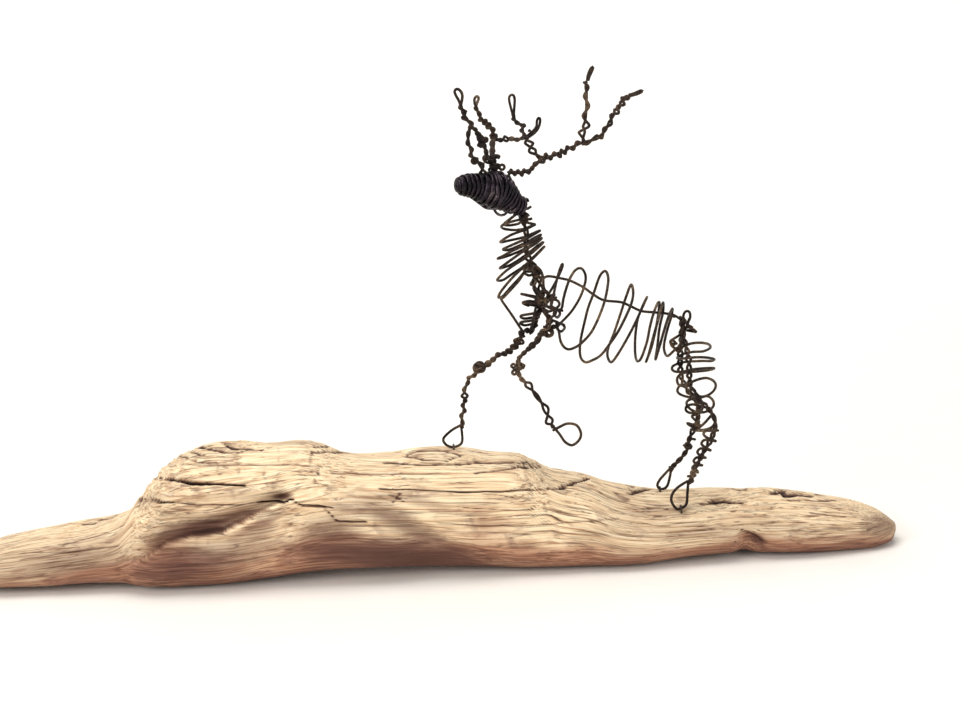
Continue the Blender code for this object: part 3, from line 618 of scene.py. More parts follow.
# Cracks as the photograph shows them: pixels along each, half width in pixels, depth
CRACKS = [
    ([(152, 477.5), (172, 478.5), (190, 482), (206, 483), (222, 484), (244, 485)], 1.7, 3.0),
    ([(138, 499), (150, 500), (160, 502), (172, 502)], 1.5, 2.4),
    ([(172, 502), (200, 505), (240, 505), (262, 502)], 0.8, 0.8),
    ([(255, 505), (268, 503), (284, 503), (291, 499)], 1.3, 2.6),
    ([(291, 499), (300, 505), (318, 506), (332, 508)], 0.9, 1.3),
    ([(173, 455), (185, 458), (202, 461), (218, 461)], 0.9, 1.3),
    ([(187, 450), (198, 453), (204, 454)], 0.9, 1.2),
    ([(199, 447), (214, 449), (231, 452), (245, 451)], 1.2, 1.9),
    ([(223, 443), (232, 447), (248, 448), (263, 450)], 1.4, 2.1),
    ([(159, 464), (200, 465), (250, 464), (330, 466)], 0.6, 0.5),
    ([(312, 447), (322, 446), (337, 445)], 1.0, 1.3),
    ([(312, 453), (326, 452), (342, 451), (358, 452)], 1.2, 1.6),
    ([(214, 462), (218, 468), (219, 474)], 1.1, 0.25),
    ([(238, 448), (237, 462), (240, 478)], 1.1, 0.25),
    ([(265, 458), (263, 470), (266, 484)], 1.1, 0.25),
    ([(279, 450), (278, 461)], 1.1, 0.25),
    ([(311, 450), (310, 466), (315, 480), (313, 488)], 1.1, 0.25),
    ([(404, 456), (418, 450), (440, 449), (463, 455)], 0.8, 1.0),
    ([(404, 456), (425, 459), (445, 460), (463, 455)], 0.8, 1.0),
    ([(385, 463), (430, 464), (480, 462), (533, 462)], 1.0, 1.8),
    ([(475, 473), (500, 470), (535, 464)], 0.9, 1.5),
    ([(518, 466), (530, 468), (540, 466)], 1.3, 1.5),
    ([(378, 488), (420, 490), (473, 492), (530, 490), (567, 487)], 0.8, 1.2),
    ([(560, 487), (570, 482), (588, 478)], 1.5, 2.4),
    ([(330, 472), (380, 474), (440, 473)], 0.6, 0.5),
    ([(390, 495), (397, 497), (405, 503)], 0.9, 1.0),
    ([(392, 503), (398, 496), (401, 490)], 0.9, 1.0),
    ([(437, 523), (480, 526), (535, 526), (580, 522), (620, 519)], 0.6, 0.5),
    ([(326, 510), (337, 522), (365, 522)], 0.9, 1.1),
    ([(300, 506), (325, 508)], 0.9, 1.0),
    ([(628, 494), (640, 490), (652, 487), (666, 489)], 1.8, 2.6),
    ([(643, 508), (656, 507), (667, 508)], 1.0, 1.3),
    ([(702, 503), (719, 500), (730, 501), (742, 503)], 1.6, 2.2),
    ([(733, 489), (740, 487), (747, 489), (740, 491), (733, 489)], 0.9, 1.2),
    ([(769, 492), (782, 490), (786, 494), (812, 495)], 1.5, 2.2),
    ([(815, 494), (828, 494)], 1.2, 1.8),
    ([(789, 500), (812, 500), (836, 500)], 1.1, 1.6),
    ([(810, 513), (845, 517)], 0.6, 0.6),
    ([(742, 530), (752, 536), (762, 543)], 1.2, 1.4),
    ([(82, 524), (95, 523), (101, 519)], 0.8, 0.8),
    ([(101, 520), (113, 517), (121, 511)], 0.8, 0.8),
    ([(60, 545), (100, 535), (125, 524)], 0.6, 0.5),
    ([(20, 560), (70, 552), (120, 546)], 0.6, 0.5),
]

# Soft hollows and dark places: centre and half widths in pixels, turn in degrees, depth, darkness. The
# darkness is partly painted shade, in the hollows and pockets and under the near staple, and partly the
# wood's own staining
HOLLOWS = [
    ((280, 497), (13, 5), -8, 3.2, 1.0),
    ((206, 530), (21, 5), -14, 1.6, 0.95),
    ((168, 545), (20, 8), -30, 1.0, 0.5),
    ((757, 541), (11, 6), 28, 1.8, 1.0),
    ((354, 541), (9, 5), 0, 0.8, 0.5),
    ((312, 543), (9, 5), 0, 0.8, 0.4),
    ((397, 497), (9, 6), 0, 0.6, 0.35),
    ((512, 543), (4, 9), 0, 0.3, 0.35),
    ((575, 541), (5, 6), 0, 0.3, 0.3),
    ((600, 531), (5, 6), 0, 0.3, 0.25),
    ((412, 530), (60, 13), 27, 2.0, 0.8),
    ((330, 534), (38, 18), 0, 0.6, 0.68),
    ((432, 552), (66, 12), 6, 1.0, 0.85),
    ((355, 510), (34, 6), 10, 0.5, 0.45),
    ((425, 503), (34, 6), 16, 0.5, 0.4),
    ((882, 528), (22, 16), 10, 0.0, 0.6),
    ((715, 530), (160, 20), -2, 0.0, 0.34),
    ((60, 552), (90, 16), -9, 0.0, 0.42),
    # Painted shadow of the near staple on the wood
    ((683, 507), (10, 5), 0, 0.0, 0.35),
    ((290, 522), (18, 12), -30, 0.8, 0.3),
    ((236, 497), (34, 8), 0, 0.5, 0.3),
    ((50, 562), (100, 24), -6, 0.0, 0.55),
    ((200, 560), (88, 22), -12, 0.0, 0.85),
    ((400, 557), (115, 15), 4, 0.0, 1.0),
    ((335, 555), (60, 16), 0, 0.0, 0.6),
    ((690, 552), (120, 9), -2, 0.0, 0.3),
    ((295, 443), (34, 3), 0, 0.0, 0.4),
    ((150, 500), (16, 9), -30, 0.0, 0.3),
]

# Upper edge of the low tongue at the left, in front of its hollow
TONGUE_EDGE = np.array([
    (118, 574), (126, 568), (147, 557), (164, 546), (189, 538), (221, 534), (242, 523), (263, 512),
    (283, 502), (292, 498)])

# The mesh: rings along the wood, points around each, how much closer together they stand on the front
# and top, and rings that close each end
WOOD_RINGS = 318
WOOD_SIDES = 300
ANGLE_STEPS = 720
FRONT_WEIGHT = 3.4
FRONT_TURN = 0.35
END_RINGS = 5
PLAIN_STEP, PLAIN_SIDES = 9, 60

# Grain coordinates: each section is stretched to one height, and to one depth in half depths, so that
# the grain follows the outline. That goes no further than sections of these shares
GRAIN_HEIGHT, GRAIN_DEPTH = 44, 1.9
GRAIN_HEIGHTS = (0.3, 0.7)
GRAIN_LEAST_DEPTH = 0.9
GRAIN_BEND = 3.5

# Noises in the wood's own coordinates and in the grain's: length per axis, and an offset
SKIN_NOISE = {
    "lumps": ((38, 15, 15), 3.0),
    "check_patches": ((30, 12, 12), 31.0),
    "hair_patches": ((26, 9, 9), 41.0),
    "rough_patches": ((46, 18, 18), 47.0),
    "steps": ((40, 30, 30), 53.0),
    "tongue": ((7, 4, 4), 61.0),
}
GRAIN_NOISE = {
    "bend": ((60, 22, 22), 7.0),
    "ridges": ((42, 2.6, 2.6), 11.0),
    "fine": ((22, 1.15, 1.15), 19.0),
    "checks": ((75, 5.0, 5.0), 29.0),
    "hairs": ((34, 2.4, 2.4), 37.0),
    "scales": ((11, 4.0, 1.5), 71.0),
}
CRACK_LENGTHS = (9, 3, 3)
CRACK_WANDER = 0.9

# Heights of the relief, with what is lost on the smooth sides, and how dark its lines are, which is
# painted shade in the checks and hair cracks
LUMP_HEIGHT = 0.7
RIDGE_HEIGHT, RIDGE_LOSS = 0.3, 0.19
FINE_HEIGHT, FINE_LOSS = 0.14, 0.05
CHECK_DEPTH, CHECK_DARK, CHECK_WIDTH = 0.64, 0.6, 0.028
HAIR_DEPTH, HAIR_DARK, HAIR_WIDTH = 0.3, 0.4, 0.06

# Layers worn into steps: where along the wood, from which height, and how strongly
STEPS = [((-150, -138, -120, -60), (30, 42), 1.0), ((50, 62, 78, 100), (25, 35), 0.5)]
STEP_LAYER = 4.2
STEP_HEIGHT = 1.5
STEP_DARK = 0.5

# Flakes off the top, most of them over a stretch at the right
FLAKE_STRETCH = (50, 85, 190, 215)
FLAKE_DEPTH = 0.9
FLAKE_STAIN = 0.28
FLAKE_RIM = 0.45

# Cracks: least half width in pixels, reach of the worn lip beside them, its depth, and its painted shade
THIN_CRACK = 0.85
LIP_REACH = 2.2
LIP_DEPTH = 0.08
LIP_SHADE = 0.15

# Tongue and the hollow above it: pixels across and along, heights, and where the hollow's painted shade is
# darkest
HOLLOW_ACROSS = (-1.5, 3.5, 6, 27)
HOLLOW_ALONG = (128, 160, 276, 292)
HOLLOW_DEPTH = 5.2
TONGUE_ACROSS = (-1.5, 2.5, 18, 60)
TONGUE_ALONG = (122, 140, 260, 292)
TONGUE_HEIGHT = 1.6
SHADOW_ACROSS = (-0.5, 1.2, 5, 27)
DEEPEST, DEEPEST_WIDTH = 202, 26
PALE_EDGE = (205, 240)


def ring_angles(x):
    """Angles around the section at each place along the wood, closer together on the front and top."""
    dense = np.linspace(0, 2 * math.pi, ANGLE_STEPS + 1)
    steps = np.linalg.norm(np.diff(wood_skin(x, dense[None, :]), axis=1), axis=-1)
    middle = (dense[1:] + dense[:-1]) / 2
    weight = 1 + FRONT_WEIGHT * fade(-np.cos(middle - FRONT_TURN), -0.15, 0.35)
    angles = []
    for row in steps:
        reach = np.concatenate([[0], np.cumsum(row * weight)])
        angles.append(np.interp(np.linspace(0, reach[-1], WOOD_SIDES, endpoint=False), reach, dense))
    return np.array(angles)


def wood_points(share):
    """Grid of points on the plain skin, in the middle of its depth."""
    points = wood_skin(share, ring_angles(share))
    plain = wood_skin(share[::PLAIN_STEP], np.linspace(0, 2 * math.pi, PLAIN_SIDES)[None, :])[..., 1]
    points[..., 1] -= (plain.max() + plain.min()) / 2
    return points


def grain_place(points, share):
    """Coordinates in which the grain is straight. It follows the form of the lower parts."""
    low, top, front, back = (column[:, None] for column in rounded_table(share).T)
    high = np.clip(top - low, *GRAIN_HEIGHTS)
    deep = np.maximum(back - front, GRAIN_LEAST_DEPTH)
    y = points[..., 1] * GRAIN_DEPTH / deep
    z = (points[..., 2] / WOOD_HEIGHT - low) / high * GRAIN_HEIGHT
    return np.stack([points[..., 0], y, z], -1)


class Carving:
    """The wood's skin while it is worked.

    lift is how far each point goes outwards. dark, stain and bleach are its tones, from 0 to 1: painted
    shade in cracks and recesses; the wood's own brown with painted shade below and in the hollows; and
    weathered paleness with painted light on the top and the lit faces.
    """

    def __init__(self):
        self.share = np.linspace(-1, 1, WOOD_RINGS)
        self.points = wood_points(self.share)
        self.x, self.z = self.points[..., 0], self.points[..., 2]
        self.normals = grid_normals(self.points)
        self.up = self.normals[..., 2]
        self.pixels = to_pixel(self.points)
        sight = (EYE - self.points) / np.linalg.norm(EYE - self.points, axis=-1)[..., None]
        self.facing = fade((self.normals * sight).sum(-1), -0.12, 0.04)
        self.grain = grain_place(self.points, self.share)
        bend = self.grain_noise("bend") * GRAIN_BEND
        self.grain[..., 1] += bend
        self.grain[..., 2] += bend
        self.lumps = self.skin_noise("lumps")
        self.ridges = self.grain_noise("ridges")
        self.lift = LUMP_HEIGHT * self.lumps
        self.dark, self.stain_and_shade, self.bleach_and_light = np.zeros((3, *self.x.shape))

    def skin_noise(self, name):
        return field(self.points, *SKIN_NOISE[name])

    def grain_noise(self, name):
        return field(self.grain, *GRAIN_NOISE[name])

    def darken(self, amount):
        self.dark = np.maximum(self.dark, amount)

    def tinge(self, amount):
        self.stain_and_shade = np.maximum(self.stain_and_shade, amount)

    def carve_grain(self):
        """Ridges, checks and hair cracks, with painted shade in the checks and hair cracks. They are lower
        on the smooth sides and on steep flanks.
        """
        rough = fade(self.skin_noise("rough_patches"), -0.05, 0.3)
        sides = (1 - fade(self.up, -0.2, 0.25)) * (1 - 0.4 * rough)
        flank = 1 - 0.8 * fade(abs(self.normals[..., 0]), 0.22, 0.5)
        self.lift += (RIDGE_HEIGHT - RIDGE_LOSS * sides) * self.ridges * (0.6 + 0.6 * rough) * flank
        self.lift += (FINE_HEIGHT - FINE_LOSS * sides) * self.grain_noise("fine") * flank
        worn = (0.2 + 0.8 * (1 - sides)) * flank
        checks = bell(self.grain_noise("checks"), CHECK_WIDTH) * worn
        checks *= fade(self.skin_noise("check_patches"), -0.1, 0.35)
        hairs = bell(self.grain_noise("hairs"), HAIR_WIDTH) * worn
        hairs *= fade(self.skin_noise("hair_patches"), -0.15, 0.3)
        self.lift -= CHECK_DEPTH * checks + HAIR_DEPTH * hairs
        self.darken(CHECK_DARK * checks)
        self.darken(HAIR_DARK * hairs)

    def carve_steps(self):
        """Layers of the grain worn into steps, most of all at the hump's left end, with painted shade at
        the foot of each step.
        """
        steps = sum(share * window(self.x, *stretch) * fade(self.z, *heights)
                    for stretch, heights, share in STEPS)
        saw = np.mod(self.grain[..., 2] / STEP_LAYER + 0.4 * self.skin_noise("steps"), 1.0)
        self.lift += steps * STEP_HEIGHT * (saw ** 2 - 0.4)
        self.darken(steps * STEP_DARK * (1 - fade(saw, 0.0, 0.12)) * self.facing)

    def carve_flakes(self):
        """Flakes that have come off the top, most of all towards the right."""
        scales = self.grain_noise("scales")
        flaky = fade(self.up, 0.1, 0.5) * (0.25 + 0.75 * window(self.x, *FLAKE_STRETCH))
        flakes = fade(scales, 0.28, 0.36) * flaky
        self.lift -= FLAKE_DEPTH * flakes
        self.tinge(FLAKE_STAIN * flakes)
        # Painted shade along each flake's rim
        self.darken(FLAKE_RIM * bell(scales - 0.32, 0.04) * flaky)

    def carve_cracks(self):
        """The photograph's cracks, a little astray and thinner towards their ends, with painted shade in
        them and on their lips.
        """
        for line, half, depth in CRACKS:
            wander = field(self.points, CRACK_LENGTHS, len(line) + depth) * CRACK_WANDER
            gap, where = off_line(self.pixels + np.stack([np.zeros_like(wander), wander], -1), line)
            taper = 0.6 + 0.4 * np.sin(math.pi * np.clip(where, 0.04, 0.96))
            width = np.maximum(0.85 * half * taper, THIN_CRACK)
            core = np.exp(-(gap / width) ** 4) * self.facing
            lip = bell(gap, half * taper * LIP_REACH) * self.facing
            self.lift -= core * depth * taper + lip * LIP_DEPTH * depth
            # Painted shade in the cracks and on their lips
            self.darken(core * min(1.0, 0.2 + 0.4 * depth))
            self.tinge(lip * LIP_SHADE)

    def carve_hollows(self):
        """The photograph's hollows and dark places, partly painted shade and partly the wood's own
        staining. The darkest are nearly black painted shade in the middle.
        """
        for (u, v), (half_u, half_v), turn, depth, shade in HOLLOWS:
            cos, sin = math.cos(math.radians(turn)), math.sin(math.radians(turn))
            du, dv = self.pixels[..., 0] - u, self.pixels[..., 1] - v
            far = np.hypot((du * cos + dv * sin) / half_u, (dv * cos - du * sin) / half_v)
            pit = np.exp(-far ** 2.5) * self.facing
            self.lift -= pit * depth
            # Painted shade in the hollow, with some of the wood's own staining; the darkest get near-black
            # painted shade
            self.tinge(pit * shade)
            self.darken(pit * max(0, shade - 0.8) * 2.4)

    def carve_tongue(self):
        """The low tongue at the left, and the hollow above its edge, with painted shade that is darkest
        near its middle and a near-black line of painted shade just above the edge.
        """
        u, v = self.pixels[..., 0], self.pixels[..., 1]
        above = np.interp(u, TONGUE_EDGE[:, 0], TONGUE_EDGE[:, 1]) - v + 1.2 * self.skin_noise("tongue")
        edge = window(u, *HOLLOW_ALONG) * self.facing
        tongue = window(-above, *TONGUE_ACROSS) * window(u, *TONGUE_ALONG) * self.facing
        self.lift += TONGUE_HEIGHT * tongue - HOLLOW_DEPTH * window(above, *HOLLOW_ACROSS) * edge
        deep = 0.5 + 0.5 * bell(u - DEEPEST, DEEPEST_WIDTH)
        # Painted shade in the hollow, and a near-black line of painted shade just above the edge
        self.tinge(1.1 * window(above, *SHADOW_ACROSS) * edge * deep)
        self.darken(0.75 * deep * bell(above - 2.0, 2.4) * edge)
        self.tinge(0.6 * fade(-above, 2.0, 9.0) * tongue)
        self.bleach_and_light = bell(above + 2.5, 2.2) * edge * fade(u, *PALE_EDGE)

    def shade_and_bleach(self):
        """Painted shade towards the ground and on the underside, and bleaching together with painted light
        towards the top and the lit faces.
        """
        # Painted shade near the ground and on faces turned downwards
        low_shade = 1 - fade(self.z, 0, 22 + 6 * self.lumps)
        self.tinge(0.7 * low_shade * fade(-self.up, -0.6, 0.3))
        self.tinge(0.5 * fade(-self.up, 0.1, 0.7))
        tall = rounded_table(self.share)[:, 1][:, None] * WOOD_HEIGHT
        # Paleness from bleaching on the top, together with painted light on the top and on the faces the
        # light falls on
        lit_and_bleached = 0.55 * self.up + 0.8 * (self.z / tall - 0.42) + 0.2 * self.lumps + 0.1 * self.ridges
        self.bleach_and_light = np.maximum(self.bleach_and_light, fade(lit_and_bleached, -0.36, 0.38))

    def made(self):
        """The carved points, inside the solid's box. The relief fades at both ends and underneath."""
        lift = self.lift * np.minimum(1, (1 - abs(self.share)[:, None]) * 30 + 0.15)
        lift = np.where(self.z < 0.5, 0, lift * (1 - 0.8 * fade(-self.up, 0.75, 0.95)))
        made = self.points + self.normals * lift[..., None]
        low, high = box("driftwood_base")
        made[..., 0] = np.clip(made[..., 0], -WOOD_LENGTH / 2, WOOD_LENGTH / 2)
        made[..., 1] = np.clip(made[..., 1], low[1], high[1])
        made[..., 2] = np.maximum(made[..., 2], 0)
        return made


# Where each hoof rests on the wood. The skin follows it over HOOF_REACH
HOOVES = [("foreleg_right", 23.0, 8.0), ("hind_leg_left", 136.5, -16.0), ("hind_leg_right", 131.5, 12.0)]
HOOF_NEAR = 5
HOOF_REACH = 11
HOOF_SINK = 0.1


def fit_hooves(made):
    """Lowers or raises the skin softly under each hoof, so that the wire lies on it."""
    for node, x, y in HOOVES:
        near = np.hypot(made[..., 0] - x, made[..., 1] - y)
        top = (near < HOOF_NEAR) & (made[..., 2] > 15)
        gap = box(node)[0][2] - HOOF_SINK - np.percentile(made[..., 2][top], 80)
        made[..., 2] += gap * bell(near, HOOF_REACH) * fade(made[..., 2], 10, 20)


def close_ends(made, marks):
    """Adds rings that shrink to the middle of both ends, with the marks of the ring they close."""
    shares = 1 - np.arange(1, END_RINGS) / END_RINGS
    caps = []
    for side in (0, -1):
        centre = made[side].mean(0)
        caps.append(centre + (made[side] - centre) * shares[:, None, None])
    order = [0] * len(shares) + list(range(len(made))) + [-1] * len(shares)
    return np.concatenate([caps[0][::-1], made, caps[1]]), marks[order]


def add_wood():
    wood = Carving()
    wood.carve_grain()
    wood.carve_steps()
    wood.carve_flakes()
    wood.carve_cracks()
    wood.carve_hollows()
    wood.carve_tongue()
    wood.shade_and_bleach()
    made = wood.made()
    fit_hooves(made)
    # Painted shade in recesses, own staining with painted shade, and bleaching with painted light, kept on
    # the mesh
    tones = np.stack([wood.dark, wood.stain_and_shade, wood.bleach_and_light], -1)
    rings, marks = close_ends(made, np.concatenate([tones, wood.grain * MM], -1))
    parts = [skin(rings, (rings[0].mean(0), rings[-1].mean(0)), reverse=True)]
    values = np.vstack([marks.reshape(-1, marks.shape[-1]), marks[0, :1], marks[-1, :1]])
    piece = add_piece("driftwood", parts, wood_material(), "driftwood_base")
    for k, name in enumerate(("recess_shade", "stain_and_shade", "bleach_and_light")):
        layer = piece.data.attributes.new(name, "FLOAT", "POINT")
        layer.data.foreach_set("value", values[:, k].astype(np.float32))
    layer = piece.data.attributes.new("grain", "FLOAT_VECTOR", "POINT")
    layer.data.foreach_set("vector", values[:, 3:].astype(np.float32).ravel())


# The wood's tones from the dark to the pale lines of its grain: on its sides; above, bleached and with
# painted light; and below and in the hollows, stained and with painted shade
BODY_TONES = [
    (0.3, (0.23, 0.107, 0.067)), (0.42, (0.40, 0.19, 0.113)), (0.55, (0.55, 0.29, 0.172)),
    (0.72, (0.69, 0.41, 0.252))]
PALE_TONES = [
    (0.3, (0.45, 0.265, 0.155)), (0.42, (0.79, 0.57, 0.355)), (0.56, (0.94, 0.755, 0.51)),
    (0.75, (0.97, 0.85, 0.63))]
BROWN_TONES = [(0.3, (0.048, 0.02, 0.018)), (0.5, (0.115, 0.047, 0.037)), (0.7, (0.23, 0.105, 0.075))]


def wood_material():
    """Weathered driftwood: bleached and painted lighter for the light above, tan on its sides, purple
    brown below and in the hollows from its own staining and painted shade, with painted shade in the
    cracks.
    """
    m = Nodes("driftwood")
    m.place = m.attribute("grain", "Vector")
    recess_shade, stain_and_shade, bleach_and_light = (m.attribute(name) for name in ("recess_shade", "stain_and_shade", "bleach_and_light"))
    streaks = m.noise((26, 900, 900), 6, 0.4)
    lines = m.noise((14, 1500, 1500), 3, 0.3)
    seams = m.math("ABSOLUTE", m.math("SUBTRACT", m.noise((7, 330, 330), 3, 0.25), 0.5))
    clouds = m.noise((22, 55, 55), 4, 0.6)
    specks = m.noise((1100, 1700, 1700), 2)
    smudges = m.noise((75, 170, 170), 5, 0.9)
    body, pale, brown = (m.ramp(streaks, tones) for tones in (BODY_TONES, PALE_TONES, BROWN_TONES))
    high = m.math("ADD", bleach_and_light, m.span(clouds, 0.35, 0.65, -0.25, 0.25))
    low = m.math("ADD", stain_and_shade, m.span(clouds, 0.3, 0.7, 0.18, -0.18))
    split = m.math("ADD", recess_shade, m.span(streaks, 0.35, 0.65, 0.07, -0.07))
    colour = body
    for share, tone in (
            # Bleaching together with painted light on the top and the lit faces
            (m.span(high, 0.1, 0.8), pale),
            # The wood's own brown together with painted shade below and in the hollows
            (m.span(low, 0.05, 0.9, 0.0, 0.95), brown),
            (m.span(smudges, 0.46, 0.3, 0.0, 0.5), (0.24, 0.125, 0.095)),
            (m.span(lines, 0.38, 0.28, 0.0, 0.65), (0.10, 0.05, 0.034)),
            (m.span(seams, 0.0, 0.024, 0.7, 0.0), (0.09, 0.042, 0.03)),
            (m.span(specks, 0.62, 0.78, 0.0, 0.25), (0.09, 0.05, 0.05)),
            # Painted shade in the cracks and recesses: brown at their edges, near black in their middles
            (m.span(split, 0.08, 0.5, 0.0, 0.9), (0.12, 0.055, 0.04)),
            (m.span(recess_shade, 0.4, 0.85), (0.010, 0.005, 0.005))):
        colour = m.mix(share, colour, tone)
    m.surface(
        Base_Color=colour,
        Roughness=m.span(streaks, 0.3, 0.7, 0.92, 0.74),
        Specular_IOR_Level=0.25,
        Normal=m.bump(lines, 0.5, 0.00035, m.bump(streaks, 0.42, 0.0005)))
    return m.material


# The elk's landmarks in its own frame. They are the solid's, but for the far hind hoof's narrower loop

def at(*points):
    return np.array(points, float)


FORELEG_RIGHT = at(
    (-13.5, 5, 86), (-20, 8, 80.5), (-25, 9, 79), (-29, 9, 76.5), (-35, 9, 73),
    (-40.5, 9, 68.5), (-42, 9, 63.5), (-43.5, 9, 58), (-44.5, 10, 53), (-45.5, 10, 47), (-46, 10, 41))
FORELEG_RIGHT_HOOF = at(
    (-46, 10, 42), (-46, 10, 34.5), (-48, 10, 32), (-52, 10, 31.5), (-55, 10, 33.5), (-55.5, 10, 36.5),
    (-51, 10, 40.5), (-46, 10, 43))
FORELEG_LEFT = at(
    (-2.5, -2.7, 109.5), (-3, -2.7, 106), (-1.5, -4.5, 103), (0, -8, 101), (0, -10, 96.5),
    (-4, -10, 92), (-6.5, -10, 88.5), (-11, -11, 85), (-15, -12, 81.5), (-15.5, -12, 76.5),
    (-15, -12, 71.5), (-11.5, -12, 67.5), (-8, -12, 62.5), (-4, -12, 55.5), (-2, -12, 49),
    (1, -12, 44.5))
FORELEG_LEFT_HOOF = at(
    (-0.5, -12.6, 46.5), (3, -12.8, 41.5), (5.5, -12.6, 37.5), (9, -12, 35.5), (12.5, -12, 38),
    (13.5, -12, 41.5), (11.5, -11.4, 45.5), (7, -11.2, 46.5), (3, -11.2, 45), (-0.5, -11.8, 43.5))
HIND_LEG_LEFT = at(
    (67, -1.6, 95), (67, -1.6, 89), (67, -3.5, 85), (68, -6.5, 79), (68.5, -8, 71.5), (68.5, -8, 66),
    (69, -8, 61.5), (71, -9, 57), (74, -10.5, 53.5), (77, -12, 50), (79.5, -13, 46), (80, -13, 41),
    (78.5, -13, 36), (76, -14, 32), (73.5, -14, 28), (71, -14, 23), (69, -14, 19), (67.5, -14, 14.5),
    (66, -14, 12))
HIND_LEG_LEFT_HOOF = at(
    (66, -14, 13), (65.5, -14, 7), (65, -14, 2), (63, -14, 0), (60, -14, -0.5), (57.5, -14, 3.5),
    (58, -14, 7.5), (61, -14, 11), (66, -14, 14))
HIND_LEG_RIGHT = at(
    (67, 1.6, 95), (67, 1.6, 89), (67, 3.5, 84), (67, 6.5, 77), (67, 7, 64), (69, 8, 58), (72.5, 9, 52),
    (76, 10, 47.5), (76.5, 11, 40.5), (75.5, 12, 35), (73, 13, 29.5), (71, 13, 23.5), (70.5, 14, 20),
    (67.5, 14, 16), (63.5, 14, 12), (62, 14, 9.5))
HIND_LEG_RIGHT_HOOF = at(
    (62.5, 14, 10.5), (61.6, 14, 5.5), (60.2, 14, 1), (58, 14, -0.5), (55.9, 14, 0), (55.1, 14, 2),
    (56.4, 14, 4.8), (59.2, 14, 8), (62.5, 14, 11.5))
NECK = at(
    (-11, -0.5, 149), (-9.5, 0, 146), (-8.5, 0, 141), (-9, 0, 135), (-8.5, 0, 129.5), (-6, 0, 125),
    (-3.5, 0, 118.5), (-2.5, 0, 111), (-3, 0, 106), (-4.5, 0, 100.5), (-6.5, 0, 95), (-9, 0, 90.5))
SPINE = at(
    (-2, 0, 119.5), (1.5, 0, 119), (8, 0, 117.5), (12.5, 0, 116), (18.5, 0, 112.5), (23.5, 0, 108.5),
    (28.5, 0, 105.5), (37, 0, 104), (42, 0, 101.5), (47, 0, 99), (53.5, 0, 98), (59.5, 0, 97),
    (63.5, 0, 95))
ANTLER_LEFT = at(
    (-16, -4.5, 174), (-11.5, -7, 171), (-6.5, -9, 170.5), (-3.5, -10, 173.5), (0, -12, 176.5),
    (5, -13, 178.5), (11, -15, 180.5), (16, -17, 182.5), (19, -18, 184), (24, -19, 185.5),
    (28.5, -19, 188), (33, -20, 194.5), (36, -20, 198.5), (39.5, -21, 202), (43, -21.5, 203.5))
UP_TINE = at((19.2, -17.8, 183.2), (19.5, -19, 191), (20, -20, 197.5), (20.5, -21, 203), (21, -22, 210))
MIDDLE_TINE = at(
    (0.6, -12, 175.7), (-1.5, -12, 178), (-4, -13, 181), (-7, -13, 184), (-7.5, -14, 185.5))
ANTLER_RIGHT = at(
    (-20.5, -6.5, 173), (-21.5, -6, 177), (-22.5, -3.5, 181), (-22, 3, 187.5), (-16, 10, 186.5),
    (-11, 18, 186.5), (-4.7, 25.2, 186.9))
TALL_TINE = at((-6.6, 24.2, 185.2), (-6, 26.2, 191.5), (-10, 29, 196))
FORWARD_TINE = at((-21.7, 3.4, 186.6), (-24, 2, 192), (-26.5, 1, 195), (-29, 0, 200), (-30, -1, 203.5))
REAR_TINE = at((-7.5, 23, 186.2), (-1.5, 28, 188.5), (1.5, 31, 191.5))
BROW_TINE = at(
    (-30.5, -12, 174), (-31.5, -13, 177.5), (-33.5, -14, 183), (-34, -16, 189), (-33, -18, 193),
    (-34, -19, 195.5), (-35.5, -20, 199), (-36.5, -21, 203.5))
BROW_STRUT = at(
    (-26.5, -10, 175), (-26.5, -12, 180.5), (-28.5, -14, 186), (-31, -17, 191), (-33, -18, 193))

# Strands of the twisted pairs as the photograph shows them: a pixel of each side, half turn by half turn
BEAM_ROWS = [
    (507.5, 171.5, 509, 176), (511, 168.8, 511, 173.5), (514.5, 171.5, 515, 175.8),
    (518, 169.6, 518, 173.5), (521.5, 171.5, 522.2, 176.4), (523.4, 168.8, 525, 172.5),
    (527.5, 169.9, 529, 173.4), (531.5, 166.6, 533, 169.6), (533.6, 163, 536.5, 165.3),
    (540.2, 156.8, 544, 162.3), (545.5, 153.4, 547.5, 158.3), (549.5, 156, 551, 160),
    (553.6, 151.8, 555.5, 155.5), (557.6, 153, 560.7, 157.3), (561, 149, 562.5, 152.6),
    (563.8, 150.6, 565.6, 154.6), (566.5, 146, 568.6, 149), (571.5, 146.6, 573.9, 150.1),
    (576.5, 141.3, 578.6, 144.6), (585.5, 141.3, 587.6, 144.5), (596.5, 135, 597.2, 139.2),
    (600.6, 134.6, 602.4, 138.6), (603, 128.2, 606, 130.4), (608.6, 121.6, 612, 124.6),
    (610, 114.9, 613.6, 116.2), (614.4, 109.6, 618.8, 113.2), (616.6, 106, 620, 108),
    (620, 102, 624.6, 104.7), (621.6, 97.2, 624.5, 100.5), (625.6, 95.7, 628.4, 99.6),
    (630.2, 93.6, 631.2, 96)]
UP_TINE_ROWS = [
    (583, 145.5, 585.5, 145), (578.9, 132.5, 584.8, 132), (583, 126.6, 589.3, 125.7),
    (582.4, 115.8, 586.3, 114.6), (586, 106.6, 589.4, 106), (583.6, 96.5, 587, 95.4),
    (585.4, 88, 588.8, 87.3), (582.8, 81.9, 587, 80.8)]
LINK_ROWS = [
    (524.3, 137, 526.3, 136.6), (525, 143, 533.2, 143.2), (529.2, 151.8, 535.4, 149.8),
    (539, 158, 540, 157)]
STALK_ROWS = [
    (490, 174, 500, 174), (490.5, 167, 498, 167), (489.5, 161, 495.5, 161), (490.6, 153, 493.3, 153),
    (491.2, 147, 493.9, 147), (491.8, 141, 494.5, 141), (492.5, 136.5, 496, 136.5)]
